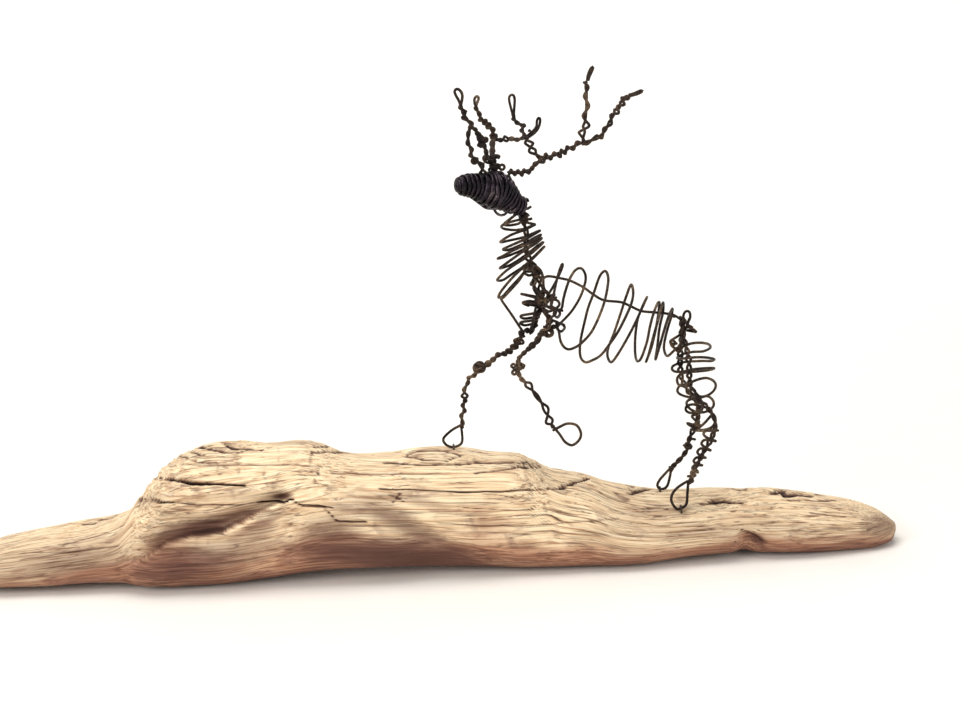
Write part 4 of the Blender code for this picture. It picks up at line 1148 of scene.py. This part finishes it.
STALK_LINK_ROWS = [
    (495.5, 137.4, 496, 141), (500.5, 138.7, 500.7, 141.6), (504.8, 136.4, 507, 141.2),
    (512.4, 137.1, 511.2, 140.5), (517, 138.6, 517.5, 141), (523, 136.5, 523.8, 139)]
FORWARD_TINE_ROWS = [
    (489.6, 136.5, 494.8, 135), (491, 130.6, 495, 128.9), (486.9, 128.4, 490, 123.5),
    (483.4, 124.2, 486.2, 119.9), (479.6, 120.4, 482.5, 119), (478.3, 115.5, 480.7, 113.3),
    (474.6, 108.5, 477, 108), (474.8, 104.5, 476.7, 104)]
TALL_TINE_ROWS = [
    (523.3, 136, 526, 135), (520.5, 131, 523, 129.5), (521.5, 126.6, 524.8, 125.3),
    (516, 123.8, 518.5, 122.3), (511.9, 119.5, 514.7, 118), (512.7, 116, 514.7, 115.6)]
BROW_ROWS = [
    (479, 174, 487, 173.5), (479.5, 165.7, 483.6, 164.2), (473, 161.5, 477, 158.5),
    (469, 155.3, 472, 155), (470.3, 149.8, 473, 149.3), (466.5, 143.5, 469.2, 143.4),
    (467, 133.5, 469.6, 133), (469, 127, 471.6, 126.4), (470, 123.9, 473, 123),
    (461.8, 118, 467.2, 119), (462, 113.3, 465.8, 111.4), (459.2, 107.5, 461.7, 107),
    (459.6, 103, 461.4, 102.6)]
BROW_STRUT_ROWS = [
    (485, 160, 488, 160), (484.8, 152, 487.4, 152), (482.6, 146.5, 485.8, 145.5), (479, 141, 485, 139),
    (475.5, 134, 480.5, 134), (472.5, 128.5, 476, 129.5), (470.5, 125.5, 472.5, 127.5)]
FORELEG_RIGHT_ROWS = [
    (519.5, 331, 525, 336), (514.2, 340.3, 523.6, 343), (511.2, 345.7, 517.6, 347.8),
    (506.5, 349.8, 511.5, 353), (503, 351.8, 506, 355.8), (496.8, 352.8, 499.5, 356.5),
    (491.3, 358.2, 494.7, 361.2), (487, 361.5, 489.6, 365.8), (478, 367, 481, 370),
    (473.5, 374, 475, 377), (467.4, 377.2, 470.3, 378), (466.6, 383, 469.2, 383),
    (462.9, 389.4, 465.5, 388.8), (461.5, 396.3, 467.8, 396), (463.5, 400.4, 467, 401.2),
    (461.3, 405.7, 464, 404.6), (463.2, 410.2, 466.1, 411.5), (460, 415.7, 462.6, 414.6),
    (461.3, 423.4, 463.9, 423.4), (461, 428, 462.8, 428.4)]
FORELEG_LEFT_ROWS = [
    (538.5, 333, 542, 332), (534, 343, 539.3, 341.3), (527.3, 347.7, 530, 350), (523, 352, 525, 354),
    (517.5, 357.5, 521.5, 357), (516.5, 361.5, 520, 361), (516, 368, 520, 368),
    (517.5, 375, 520.3, 374), (520.3, 380, 522.8, 378.5), (526, 386.5, 531, 383.5),
    (535.2, 396.8, 538, 395), (543.8, 410.3, 548, 407.5), (546, 423, 552.5, 419.5),
    (552.5, 428, 554.5, 427.4)]

# Long wires as the photograph shows them: pixels with a depth on the elk
NECK_COIL = [
    (518, 213, -2), (512, 217.5, -4), (504.9, 223, -3), (504.6, 225, 0), (511, 225.2, 4),
    (519, 223.4, 4), (522, 219.5, -3), (512, 221.5, -5), (504, 224.2, -4), (501.4, 226.8, -1),
    (504.7, 229, 3), (514, 230, 6), (523, 229, 5), (530, 226.6, 2), (535.2, 224.6, 0),
    (530, 227.2, -2.5), (523, 230.5, -5), (512, 234.5, -6), (504, 239, -4), (500.5, 242.2, 0),
    (507.9, 240.8, 4), (516.8, 238.9, 6.5), (525.7, 236.5, 6.5), (534.6, 232.6, 4), (540, 230.6, 0),
    (534, 234.3, -4), (525.7, 239, -7), (513, 244.5, -7), (503, 249.3, -1), (508, 250, 3),
    (516, 247, 7), (525.7, 242.6, 7), (535, 237.5, 4.5), (541, 234.8, 0), (535, 239.7, -4.5),
    (525, 245, -7.5), (512, 251, -7.5), (503, 256, -4), (497.6, 258.6, 0), (504.7, 257, 4),
    (513, 254, 7), (525, 248.5, 8), (536, 242, 5), (541.8, 238.2, 0), (536, 243.3, -5),
    (526, 249.5, -8), (513, 258.5, -8), (504, 265, -5), (499.8, 268.3, -0.5), (505, 267, 4),
    (513, 263.5, 7), (525, 255.5, 8), (536, 247, 5), (543.3, 242.2, 0), (537, 248.5, -5),
    (526, 257.5, -8), (512, 266.5, -8), (503, 273.5, -5), (497.2, 280, 0), (503, 280, 4), (512, 274, 7),
    (524, 266, 8), (535, 255.5, 5), (544.3, 246.7, 0), (537, 254.5, -5), (527, 264, -7), (515, 275, -7),
    (506, 285, -5), (500, 293, -2), (498.6, 297.5, 0), (503, 296, 3), (510, 288, 5), (518, 279.5, 4),
    (524, 272.5, 0), (519, 280.5, -3.5), (511, 289.5, -4), (503.5, 297.5, -3), (501.3, 299.5, -2),
    (511.6, 314.6, -2.5), (521.1, 329, -3), (523.6, 332, -2.6)]
RIB_COIL = [
    (551.5, 305, -8), (553.6, 295, -6), (556, 283, -4), (559.3, 271, -1.5), (562, 264.3, 0),
    (562.6, 266, 2), (559.5, 274, 4), (554, 285, 2), (549, 293.5, -3), (545.5, 301, -6), (548, 307, -9),
    (555, 309, -9), (561.3, 308.9, -9), (563.3, 299.3, -8), (566.1, 288.8, -6.5), (570, 278.3, -4),
    (575, 270.5, -1.5), (580.5, 268.2, 1), (584.6, 272.5, 4), (585.5, 281, 7), (580.5, 296.4, 10),
    (571.9, 310.8, 8), (562.3, 321.3, 0), (557.5, 326, -6), (559, 332, -9), (560.5, 341, -8),
    (564, 347, -6), (568.5, 349.3, -4), (573.7, 348, -6), (580.4, 344, -11), (590, 334, -16),
    (596.5, 322.5, -18), (602.4, 308, -16), (605.9, 296, -11), (608.2, 282, -6), (607.6, 274.5, -2),
    (604.8, 271, 0), (599.6, 276.5, 3), (593.9, 292.6, 8), (588.1, 308, 11), (584.3, 323.2, 12),
    (581, 338, 10), (579.8, 350, 6), (581, 358, 3), (585.5, 362.3, 0), (592.8, 360, -5),
    (601, 355, -10), (610.4, 343, -15), (619, 330, -17), (627, 314, -14), (631.8, 302, -9),
    (633.2, 292, -4), (631, 284.6, 0), (625.8, 297.6, 4), (621.4, 311, 8), (614, 333, 13),
    (608.5, 347, 11), (607.5, 356, 6), (611, 362.3, 2), (617, 355.5, -5), (628, 337, -14),
    (637.6, 318, -12), (643.5, 304, -6), (647, 297, 0), (643.5, 305, 5), (638, 318, 11),
    (635.5, 334, 15), (635, 349, 12), (635.8, 358, 6), (637.8, 361.3, 1), (641.5, 357.5, -4),
    (647, 341.5, -12), (650, 326.5, -16), (653.5, 313.5, -12), (657, 304.5, -4), (659.3, 302.3, 0),
    (658.8, 310, 5), (656, 328, 13), (652, 345.5, 14), (648, 357, 7), (646, 361.8, 0), (648.5, 355, -5),
    (653, 338, -13), (657.5, 322, -14), (661, 309, -6), (663.2, 302.5, 0), (663, 312, 5),
    (659.5, 328, 12), (657.5, 345, 13), (656, 355, 6), (655.6, 359.3, 0), (658.5, 350, -5),
    (662.5, 336, -12), (667, 321, -12), (670.5, 312, -5), (672.5, 308.8, 0), (671.5, 316, 4),
    (667, 331, 10), (664, 345, 11), (664.8, 352.5, 6), (667.5, 356, 1), (672, 352.5, -4),
    (677, 347.5, -6)]
HAUNCH_COIL = [
    (686.5, 325, -3), (690, 318, -2), (689.7, 312.7, 0), (687, 311, 0.5), (684, 313.5, 1),
    (683, 320, 2), (684.5, 327, 1), (690, 327.5, -3), (696.1, 331.8, -2), (690, 331, 2.5),
    (683, 330, 3), (679.5, 335, 0), (674, 338.5, -5), (670.7, 341.5, -6), (672, 346, -5),
    (678, 349.5, -4), (684, 346, -8), (692, 343.3, -11), (702, 342.8, -10), (709, 344.5, -4),
    (710, 348, 2), (703, 351.3, 9), (692, 352, 12), (682, 354.5, 9), (677, 358, 3), (684, 358.5, -6),
    (695, 357.3, -10), (706, 357.5, -8), (714.2, 359.2, -2), (711, 361, 4), (702, 361, 10),
    (690, 361.5, 12), (680, 363, 8), (672.5, 366.5, 2), (673.5, 371, -3), (682, 371.8, -8),
    (692, 369.5, -11), (704, 368.3, -8), (714.2, 368.2, -2), (708, 370.3, 5), (697, 371.5, 11),
    (686, 372.5, 11), (679, 375.5, 6), (677, 380, 1), (679, 385, -3), (685, 386, -7), (690, 383, -10),
    (697, 379.8, -12), (706, 378, -10), (713, 380.5, -5), (715.8, 385.5, 0), (713, 391.5, 5),
    (706, 396, 9), (696, 398, 10), (686, 396.5, 7), (679, 393.5, 3), (677.5, 389.5, -1), (681, 385, -4),
    (689, 386, -8), (695, 392, -9), (700, 396.5, -9), (708, 396.3, -7), (713, 400.5, -4),
    (713.4, 406, -1), (708, 411, 4), (699, 412.5, 6), (691, 409.5, 4), (686.7, 404.5, 1),
    (688, 400.5, -3), (694, 399, -6), (700, 402.5, -8), (703, 407.5, -8), (698, 411, -7),
    (691, 413, -3), (686, 410.5, 0), (687, 406, 3), (694, 404.5, 5), (702, 408, 3), (699, 413.5, -4),
    (692, 416, -6), (696, 421, -8), (700, 425.5, -9), (694, 425, -9), (687.3, 423.2, -8),
    (692, 426.6, -7.5), (698, 428, -8), (704, 423.5, -9.5), (709.5, 417.5, -10.5), (713, 414, -10),
    (715.5, 420, -9.5), (712, 427, -9), (703, 430, -8), (691, 429.3, -7), (700, 430.6, -9.5)]
CHEST_COIL = [
    (523, 268, -2), (530, 262.5, -4), (536, 265.5, -1), (533, 271, 3), (525, 271, 2), (523.5, 266, -3),
    (531, 265, -4.5), (536.5, 270, -1), (530, 275.5, 2.5), (524, 272, 0), (529, 266, -4.5),
    (536.5, 266.8, -3), (541.2, 271.6, -3), (543.2, 279.2, -3), (543.6, 286.9, -3), (546, 291.7, -3),
    (548.5, 297, -3), (545, 303, -1), (539, 302.5, 2), (537.5, 297, 1), (541, 291.5, -3),
    (547, 293.5, -5), (549, 300, -3), (543, 305.5, 0), (537.5, 302, 1), (538.5, 294.5, -3),
    (545, 290.5, -5.5), (548.5, 295.5, -4), (543, 301, -4.5), (533, 297, -4), (521.3, 294, -3),
    (530, 295.5, 2), (540, 297.5, 3), (548.5, 300.5, -1), (537, 303.5, -4.5), (522.8, 302.3, -3),
    (531, 305, 2), (541, 306.5, 2), (543, 310.5, -2), (533, 313.5, -4), (521.2, 315.6, -2.5),
    (523.5, 318.5, 0), (533, 317.5, 2.5), (539, 317, 0), (532, 320.5, -3.5), (520.4, 322.3, -2.5),
    (524.5, 325.3, 0), (533, 324, 2), (537, 325.5, 0), (530, 329.5, -3)]

# Rows of the spiral down the near hind leg: where each turn bulges to the left, and its other end. A
# turn lies at the middle depth, and its bulge passes from the back to the front
LEG_EYES = [
    (703.5, 434, 718.6, 430.5), (701.4, 443.6, 715.9, 441.2), (697.3, 452.2, 710.6, 450.4),
    (693.6, 461, 705.6, 457.8), (692.2, 468.2, 702.2, 465.2), (691, 473, 698, 472)]
EYE_BULGE = (3.9, 3.8)
EYE_DEPTHS = (-10.8, -13, -15.5)

# Closed loops at the tips of the tines, and the throat's
TIP_LOOPS = {
    "beam": [
        (629.5, 95), (634, 93.4), (638, 91.7), (641.4, 90.4), (642.6, 91.2), (641, 92.2), (637.5, 93.9),
        (634, 94.9), (630, 96)],
    "up": [
        (587.2, 81), (587.6, 77), (588.9, 72.5), (590.7, 68.7), (592.5, 66.8), (593, 68.2),
        (591.3, 72.3), (589.3, 76.7), (588, 81)],
    "tall": [
        (512.9, 117), (512.3, 113.5), (510.8, 107.5), (509.4, 101.8), (509.1, 97.6), (510.3, 95.5),
        (512.1, 94.8), (513.9, 96), (514.7, 100.5), (514.3, 107.5), (513.9, 113.5), (514, 117)],
    "forward": [
        (475.2, 105.5), (474.4, 101.6), (474.6, 98.6), (475.8, 96.8), (477.4, 96.3), (478.6, 97.6),
        (478.2, 100.4), (476.9, 103), (476.2, 105.5)],
    "rear": [
        (525.5, 137.5), (529, 134.4), (533.2, 130.9), (536.4, 126.3), (536.9, 121), (538.2, 118.1),
        (539.8, 118.3), (540.1, 121.6), (538.9, 126.8), (536, 131.5), (531.4, 135.4), (527, 138.3)],
    "brow": [
        (460, 104), (458.7, 100.4), (456.4, 96.4), (454.7, 92.4), (455, 90.2), (456.9, 89),
        (459.2, 89.8), (461.3, 92.2), (462.3, 95.3), (462.1, 99.4), (461.1, 104)],
    "throat": [(493.5, 206), (495, 211), (498, 214.2), (501.5, 215.2), (505.5, 213.8), (509, 209)],
}

# How many of a pair's rows, from the first, have a third strand inside
BEAM_CORES = 18
STALK_CORES = 7
FORWARD_CORES = 6
FORELEG_CORES = 9

# The strands are a little thicker than the solids' wires, as the photograph shows them, and no strand
# rises above the highest solid. Legs settle on the wood from the hip down
THICK_WIRE = 1.4
TOP = box("antler_left")[1][2]
SETTLE_FROM = 95
LEG_START = (-10.5, 1.5, 88.5)

# Heights on the elk between which the lifted leg is a plain twisted pair, and the back's wire is
# wound round the neck
UPPER_LEG = (109, 86)
SPINE_WRAP = (121.2, 118.2)
WRAP_TURNS = 1.5
WRAP_RADIUS = 1.95


def steel(name, paths, surface=WIRE_STEEL, thick=THICK_WIRE):
    """One piece of round wires."""
    for path in paths:
        path[:, 2] = np.minimum(path[:, 2], TOP - thick / 2)
    return add_piece(name + "_wires", [tube(path, thick / 2) for path in paths], surface, name)


def settle(node, leg, hoof):
    """A leg's paths and its hoof, lowered towards the hoof by as much as the solid is."""
    low = hoof[:, 2].min()
    drop = low + ELK_Z - THICK_WIRE / 2 - box(node)[0][2]
    moved = []
    for path in leg + [hoof]:
        share = np.clip((SETTLE_FROM - path[:, 2]) / (SETTLE_FROM - low), 0, 1)
        moved.append(path - np.outer(share ** 2 * drop, [0, 0, 1]))
    return moved


# The head's middle line and the radius of its winding at each point, from the nose to the back. It is
# wound twice, the second time a little deeper and half a turn on, over a plain body
HEAD_LINE = [
    (459.4, 185.4, -17.6), (465.8, 185.2, -15.8), (472.3, 185.7, -14), (479, 186.4, -12),
    (484, 188.2, -10.7), (489, 189.5, -9.3), (496, 190.2, -7.4), (503, 194.5, -5.6), (509, 199.6, -4.2),
    (514.5, 203.8, -2.8), (520, 206, -1.4), (524.5, 207.5, -0.6)]
HEAD_RADII = [4.0, 4.9, 5.3, 5.7, 7.6, 8.5, 8.9, 7.8, 6.4, 5.2, 4.5, 4.2]
HEAD_TURNS = 17
HEAD_STRANDS = [
    [
        (457.5, 189), (460, 193), (464, 194.6), (469, 196), (475.5, 200.3), (481, 204.5), (486, 207.8),
        (494, 209)],
    [(484, 176.5), (489, 173), (495, 172), (502, 174.5)],
    [(516, 197), (521, 197.3), (524.5, 200.5), (524.6, 205), (522, 209)]]
HEAD_WINDINGS = [(0, 0.4), (0.95, 0.4 + math.pi)]
ASTRAY = 0.3
ASTRAY_LENGTHS = (4.0, 4.0, 4.0)
ASTRAY_OFFSETS = (5.0, 31.0, 67.0)
NOSE_TURNS = 3.3
NOSE_START = 0.12
NOSE_DOME = 1.5
NOSE_INSET = 0.2
BODY_RINGS, BODY_SIDES = 50, 32
BODY_INSET = 1.0


def astray(path):
    """The same path, a little astray in all directions."""
    return path + ASTRAY * np.stack([field(path, ASTRAY_LENGTHS, offset) for offset in ASTRAY_OFFSETS], -1)


def nose_spiral(axis):
    """Wire wound flat over the end of the nose."""
    firsts, seconds = frames(axis)
    turn = np.linspace(NOSE_START, 1, round(NOSE_TURNS * TURN_STEPS))
    out = axis[0] - axis[1]
    out /= np.linalg.norm(out)
    flat = (HEAD_RADII[0] - NOSE_INSET) * turn[:, None] * spokes(
        firsts[0], seconds[0], 2 * math.pi * NOSE_TURNS * turn)
    return axis[0] + flat + NOSE_DOME * (1 - turn[:, None] ** 2) * out


def add_head():
    axis = smooth([spot(*point) for point in HEAD_LINE])
    wires = []
    for inward, phase in HEAD_WINDINGS:
        wound = around(axis, HEAD_TURNS, [r - inward for r in HEAD_RADII], phase)
        wires.append(astray(smooth(wound, 3)))
    wires += [drawn(line, axis) for line in HEAD_STRANDS]
    wires += [nose_spiral(axis), drawn(TIP_LOOPS["throat"], axis)]
    parts = [tube(path + PLACE, THICK_WIRE / 2) for path in wires]
    body = point_at(axis, np.linspace(0, lengths(axis)[-1], BODY_RINGS))
    radii = along(HEAD_RADII, BODY_RINGS) - BODY_INSET
    parts.append(skin(rings_around(body, radii, BODY_SIDES) + PLACE))
    add_piece("head_winding", parts, HEAD_STEEL, "head")


# Short ends, small rounds and knots on the wires. A round or knot is a pixel and a radius in pixels
HOOKS = {
    "antler_right": [
        [(490.6, 137), (494.2, 144), (490.3, 151), (494.3, 158), (490.8, 165)],
        [(494.7, 137), (490.4, 144), (494.4, 151), (490, 158), (494.3, 165)],
        [(493, 156.5), (497, 156.5), (499.5, 158.6)],
        [(493, 163), (487, 162.6), (483.6, 159.5), (484, 156.5), (489, 156)],
        [(490, 155), (498, 155.6), (498.5, 157), (490, 158.5), (484.5, 160)],
        [(489, 166), (497, 164.5), (499.5, 166), (490, 168.5), (489, 171)]],
    "brow_tine": [
        [(479, 165), (484.6, 163.3)], [(475, 160.5), (478.2, 157.8)], [(463.5, 113), (467, 110.7)]],
    "neck_core": [
        [(524, 221), (529, 223), (535.6, 224.4)], [(524, 216), (528.5, 219.2), (532.4, 218.3)],
        [(522, 212), (526, 213.4), (529, 215.8)], [(521, 209), (527, 208.8), (531.4, 206.3)]],
    "chest_wire": [
        [(532, 268), (536, 274.5), (532.5, 281), (535.5, 288), (541, 295)],
        [(536, 267), (532.5, 274), (536, 281), (533.5, 288), (538, 296)],
        [(535, 279.5), (530.6, 284), (535, 286)], [(537, 302), (529, 301), (522.8, 303), (529, 306)],
        [(536, 306), (534.5, 314), (533, 322), (530.5, 330)],
        [(539.5, 306), (537.5, 314), (535.5, 322), (532, 330)]],
    "rib_coil": [
        [
            (542.2, 311.3), (549, 311.5), (556, 309.5), (560, 313), (557.5, 317.5), (553.8, 314),
            (557, 310), (563.3, 310.8)],
        [
            (556, 321), (557.5, 326), (561, 323.7), (564.8, 327.5), (561, 331.5), (557, 328),
            (560, 324), (564.5, 325)],
        [
            (543, 326.5), (549, 328.5), (553, 331.5), (551.5, 335.6), (547, 336.4), (544, 333.6),
            (546, 330), (551, 329), (556, 326.5)],
        [(545, 332), (549, 330.5), (552, 333.5), (548.5, 335.2), (546.5, 331.5), (551, 327)],
        [
            (546.5, 301), (551, 299.5), (557, 300.3), (559.4, 304.2), (556, 308.2), (551.2, 305.5),
            (552, 300), (557, 297)],
        [(543, 331), (539.8, 332.3), (544, 335)], [(549, 296), (554.6, 294.5), (550, 299)],
        [(543, 311), (547, 316.5), (552, 320), (557, 322), (560, 324)],
        [(546, 314), (548, 321), (545.5, 330)],
        [(541, 307), (548, 306.5), (553, 309), (556, 313), (551, 318), (546, 326)]],
    "spine_wire": [
        [(668, 313.3), (673, 314.8), (678.5, 317.8), (683, 321.8), (681.5, 324.5), (679, 324)]],
    "haunch_wire": [
        [(689.5, 318), (687, 326), (683.5, 334), (681, 342), (678.5, 349)],
        [(683, 320), (682, 328), (681, 337)], [(688, 325), (692.9, 327.6)],
        [(688, 330), (696.3, 331.7)], [(677, 344), (672, 340), (670.3, 342.5), (675, 345)],
        [(700, 421), (694, 424.5), (687, 423)]],
    "hind_leg_left": [[(692, 476), (687.2, 476.3)], [(692, 474.8), (696.4, 475.6)]],
    "hind_leg_right": [[(690, 438.5), (695.8, 439.5)]],
}
ROUNDS = {
    "antler_right": [(502, 167.2, 2.8)],
    "brow_tine": [(474.3, 161, 2.8), (485.6, 139.8, 2.2)],
    "foreleg_right": [(521.5, 333, 2.6)],
    "foreleg_left": [(513.4, 365.8, 2.4), (514.4, 372.3, 2.6)],
    "rib_coil": [(549.5, 321, 3)],
}
KNOTS = {
    "antler_left": [(528.3, 171.7, 3.3), (623.4, 98.6, 3.4), (627.6, 98.4, 2.9)],
    "antler_right": [
        (491.5, 160, 4.6), (493.5, 167, 4.8), (524, 125.8, 3), (529.4, 130.7, 2.2), (494.8, 136.2, 3.5),
        (480, 120, 2.5), (521.6, 130.6, 2.8), (524.6, 136, 3)],
    "brow_tine": [
        (460.4, 107.6, 2.8), (471.5, 123.8, 3), (467.9, 144.2, 2.6), (471.6, 149.6, 2.8),
        (470.4, 155.3, 2.8), (480, 139, 4.6), (480.5, 144, 4.2), (475.6, 129.7, 2.7)],
    "neck_core": [(525, 215, 3.8), (525.5, 221, 3.4)],
    "neck_wire": [(530, 267.5, 4.6)],
    "rib_coil": [(553.5, 326.5, 3.2), (546, 312, 3)],
    "chest_wire": [(539.5, 300.5, 5.8), (541.5, 295, 4.4)],
    "foreleg_right": [
        (479.4, 367.7, 7.3), (527.4, 330, 3.8), (522, 334.5, 3.4), (518.6, 341.6, 3.6),
        (514.4, 346.8, 3)],
    "foreleg_left": [(521, 366.6, 4.8)],
    "haunch_wire": [(678.8, 349.5, 3.8), (694.6, 398.6, 3.4), (699, 412, 3.2), (684.4, 322, 3.6)],
    "hind_leg_left": [(691.6, 480.8, 2.8)],
    "hind_leg_right": [(687.6, 446.2, 5.4), (671.3, 468, 3.4)],
}
ROUND_INSET = 0.2


def fine_work(node, paths):
    """A node's short ends, small rounds and knots, as deep as the wires that carry them."""
    carrier = np.vstack(paths)
    wires = [drawn(line, carrier) for line in HOOKS.get(node, [])]
    for k, (u, v, size) in enumerate(ROUNDS.get(node, [])):
        centre = spot(u, v, depth_at(carrier, u, v))
        wires.append(ring(centre, size / PIXELS_PER_MM - ROUND_INSET, 25 * math.sin(3 * k), 70 * k))
    for k, (u, v, size) in enumerate(KNOTS.get(node, [])):
        centre = spot(u, v, depth_at(carrier, u, v))
        radius = size / PIXELS_PER_MM - THICK_WIRE / 2
        wires.append(tangle(centre, radius, 2.6 + 0.4 * size, 1.7 * k + size))
    return wires


def eye_spiral():
    """Spiral down the near hind leg, whose turns show as small eyes on its left."""
    right, down = EYE_BULGE
    far, middle, near = EYE_DEPTHS
    points = []
    for a, b, c, d in LEG_EYES:
        points += [(c, d, middle), (a + right, b - down, far), (a, b, middle), (a + right, b + down, near)]
    return points


def elk_piece(node, *wires):
    """One piece of wires in the elk's own frame, with its fine work. A pair is given as its list."""
    paths = []
    for wire in wires:
        paths += wire if isinstance(wire, list) else [wire]
    steel(node, [path + PLACE for path in paths + fine_work(node, paths)])


def add_elk():
    core = smooth(NECK)
    elk_piece("neck_core", twisted(core, CLOSE_SPREAD))
    elk_piece("neck_wire", traced(NECK_COIL))
    elk_piece("chest_wire", traced(CHEST_COIL))
    wrap = around(between(core, *SPINE_WRAP), WRAP_TURNS, [WRAP_RADIUS], math.pi)
    elk_piece("spine_wire", smooth(np.vstack([wrap[::3], SPINE[1:]])))

    leg = smooth(np.vstack([[LEG_START], FORELEG_RIGHT]))
    pair = braid(FORELEG_RIGHT_ROWS, leg, FORELEG_CORES)
    elk_piece("foreleg_right", settle("foreleg_right", pair, smooth(FORELEG_RIGHT_HOOF)))
    leg = smooth(FORELEG_LEFT)
    upper = twisted(between(leg, *UPPER_LEG))
    elk_piece("foreleg_left", upper, braid(FORELEG_LEFT_ROWS, leg), smooth(FORELEG_LEFT_HOOF))
    elk_piece("rib_coil", traced(RIB_COIL))

    for node, leg, hoof, spread in (
            ("hind_leg_left", HIND_LEG_LEFT, HIND_LEG_LEFT_HOOF, CLOSE_SPREAD),
            ("hind_leg_right", HIND_LEG_RIGHT, HIND_LEG_RIGHT_HOOF, SPREAD)):
        core, foot = settle(node, [smooth(leg)], smooth(hoof))
        elk_piece(node, twisted(core, spread), foot)
    elk_piece("haunch_wire", traced(HAUNCH_COIL + eye_spiral()))

    beam, up, link = smooth(ANTLER_LEFT), smooth(UP_TINE), smooth(MIDDLE_TINE)
    elk_piece(
        "antler_left", braid(BEAM_ROWS, beam, BEAM_CORES), braid(UP_TINE_ROWS, up),
        braid(LINK_ROWS, link), drawn(TIP_LOOPS["beam"], beam), drawn(TIP_LOOPS["up"], up))
    stem, tall, forward = smooth(ANTLER_RIGHT), smooth(TALL_TINE), smooth(FORWARD_TINE)
    elk_piece(
        "antler_right", braid(STALK_ROWS, stem, STALK_CORES), braid(STALK_LINK_ROWS, stem),
        braid(FORWARD_TINE_ROWS, forward, FORWARD_CORES), braid(TALL_TINE_ROWS, tall),
        drawn(TIP_LOOPS["rear"], smooth(REAR_TINE)), drawn(TIP_LOOPS["tall"], tall),
        drawn(TIP_LOOPS["forward"], forward))
    brow = smooth(BROW_TINE)
    elk_piece(
        "brow_tine", braid(BROW_ROWS, brow), braid(BROW_STRUT_ROWS, smooth(BROW_STRUT)),
        drawn(TIP_LOOPS["brow"], brow))


STAPLE_WIRE = 1.0
ARCH_POINTS = 12


def add_staples():
    """Small arches over the hooves' wires, from the solids' boxes."""
    for hoof, *_ in HOOVES:
        low, high = box(hoof + "_staple")
        x = (low[0] + high[0]) / 2
        y = (low[1] + high[1]) / 2
        reach = (high[1] - low[1] - STAPLE_WIRE) / 2
        centre = high[2] - STAPLE_WIRE / 2 - reach
        arch = [(x, y + reach * math.cos(a), centre + reach * math.sin(a))
                for a in np.linspace(0, math.pi, ARCH_POINTS)]
        path = np.array([(x, y + reach, low[2])] + arch + [(x, y - reach, low[2])])
        steel(hoof + "_staple", [path], STAPLE_STEEL, STAPLE_WIRE)


# Studio, in metres: a pale floor that curves up behind the object, and soft lights

FLOOR_HALF, FLOOR_FRONT, FLOOR_BACK = 2.6, -1.6, 1.5
BEND_RADIUS, BEND_STEPS = 0.5, 16
WALL_TOP = 2.6
FLOOR_COLOUR = (0.93, 0.91, 0.88)
FLOOR_SHADE = 0.985

# Each light's place, target, width, power and colour
OBJECT_MIDDLE = (0.04, 0, 0.08)
WARM = (1.0, 0.97, 0.92)
WHITE = (1.0, 1.0, 1.0)
LIGHTS = {
    "top": ((-0.15, -0.15, 1.5), OBJECT_MIDDLE, 1.1, 14.2, WARM),
    "left": ((-1.3, -1.0, 0.9), OBJECT_MIDDLE, 0.9, 14.5, WARM),
    "right": ((1.2, -1.1, 0.6), OBJECT_MIDDLE, 0.9, 5.5, (1.0, 0.96, 0.9)),
    "wall_left": ((-0.9, 1.1, 1.6), (-0.9, 2.4, 0.7), 1.4, 13, WHITE),
    "wall_right": ((0.9, 1.1, 1.6), (0.9, 2.4, 0.7), 1.4, 13, WHITE),
}
SKY_COLOUR = (1.0, 0.99, 0.975, 1)
SKY_STRENGTH = 0.4


def floor_material():
    m = Nodes("backdrop")
    shade = tuple(c * FLOOR_SHADE for c in FLOOR_COLOUR)
    grain = m.noise((40, 40, 40), 2)
    m.surface(Base_Color=m.ramp(grain, [(0.3, FLOOR_COLOUR), (0.7, shade)]), Roughness=0.9)
    return m.material


def add_backdrop():
    profile = [(FLOOR_FRONT, 0.0)]
    for k in range(BEND_STEPS + 1):
        angle = math.pi / 2 * k / BEND_STEPS
        profile.append((FLOOR_BACK + BEND_RADIUS * math.sin(angle), BEND_RADIUS * (1 - math.cos(angle))))
    profile.append((FLOOR_BACK + BEND_RADIUS, WALL_TOP))
    vertices = [(side * FLOOR_HALF, y, z) for y, z in profile for side in (-1, 1)]
    faces = [(2 * k, 2 * k + 1, 2 * k + 3, 2 * k + 2) for k in range(len(profile) - 1)]
    data = bpy.data.meshes.new("backdrop")
    data.from_pydata(vertices, [], faces)
    data.shade_smooth()
    data.materials.append(floor_material())
    backdrop = bpy.data.objects.new("backdrop", data)
    bpy.context.scene.collection.objects.link(backdrop)


def add_light(name, place, target, size, power, colour):
    data = bpy.data.lights.new(name, "AREA")
    data.shape = "DISK"
    data.size = size
    data.energy = power
    data.color = colour
    light = bpy.data.objects.new(name, data)
    light.location = place
    light.rotation_mode = "QUATERNION"
    light.rotation_quaternion = (Vector(target) - Vector(place)).to_track_quat("-Z", "Y")
    bpy.context.scene.collection.objects.link(light)


def add_studio():
    add_backdrop()
    for name, settings in LIGHTS.items():
        add_light(name, *settings)
    world = bpy.data.worlds.new("world")
    world.use_nodes = True
    background = world.node_tree.nodes["Background"]
    background.inputs["Color"].default_value = SKY_COLOUR
    background.inputs["Strength"].default_value = SKY_STRENGTH
    bpy.context.scene.world = world
    bpy.context.scene.view_settings.view_transform = "Standard"


make_camera()
add_wood()
add_elk()
add_head()
add_staples()
add_studio()
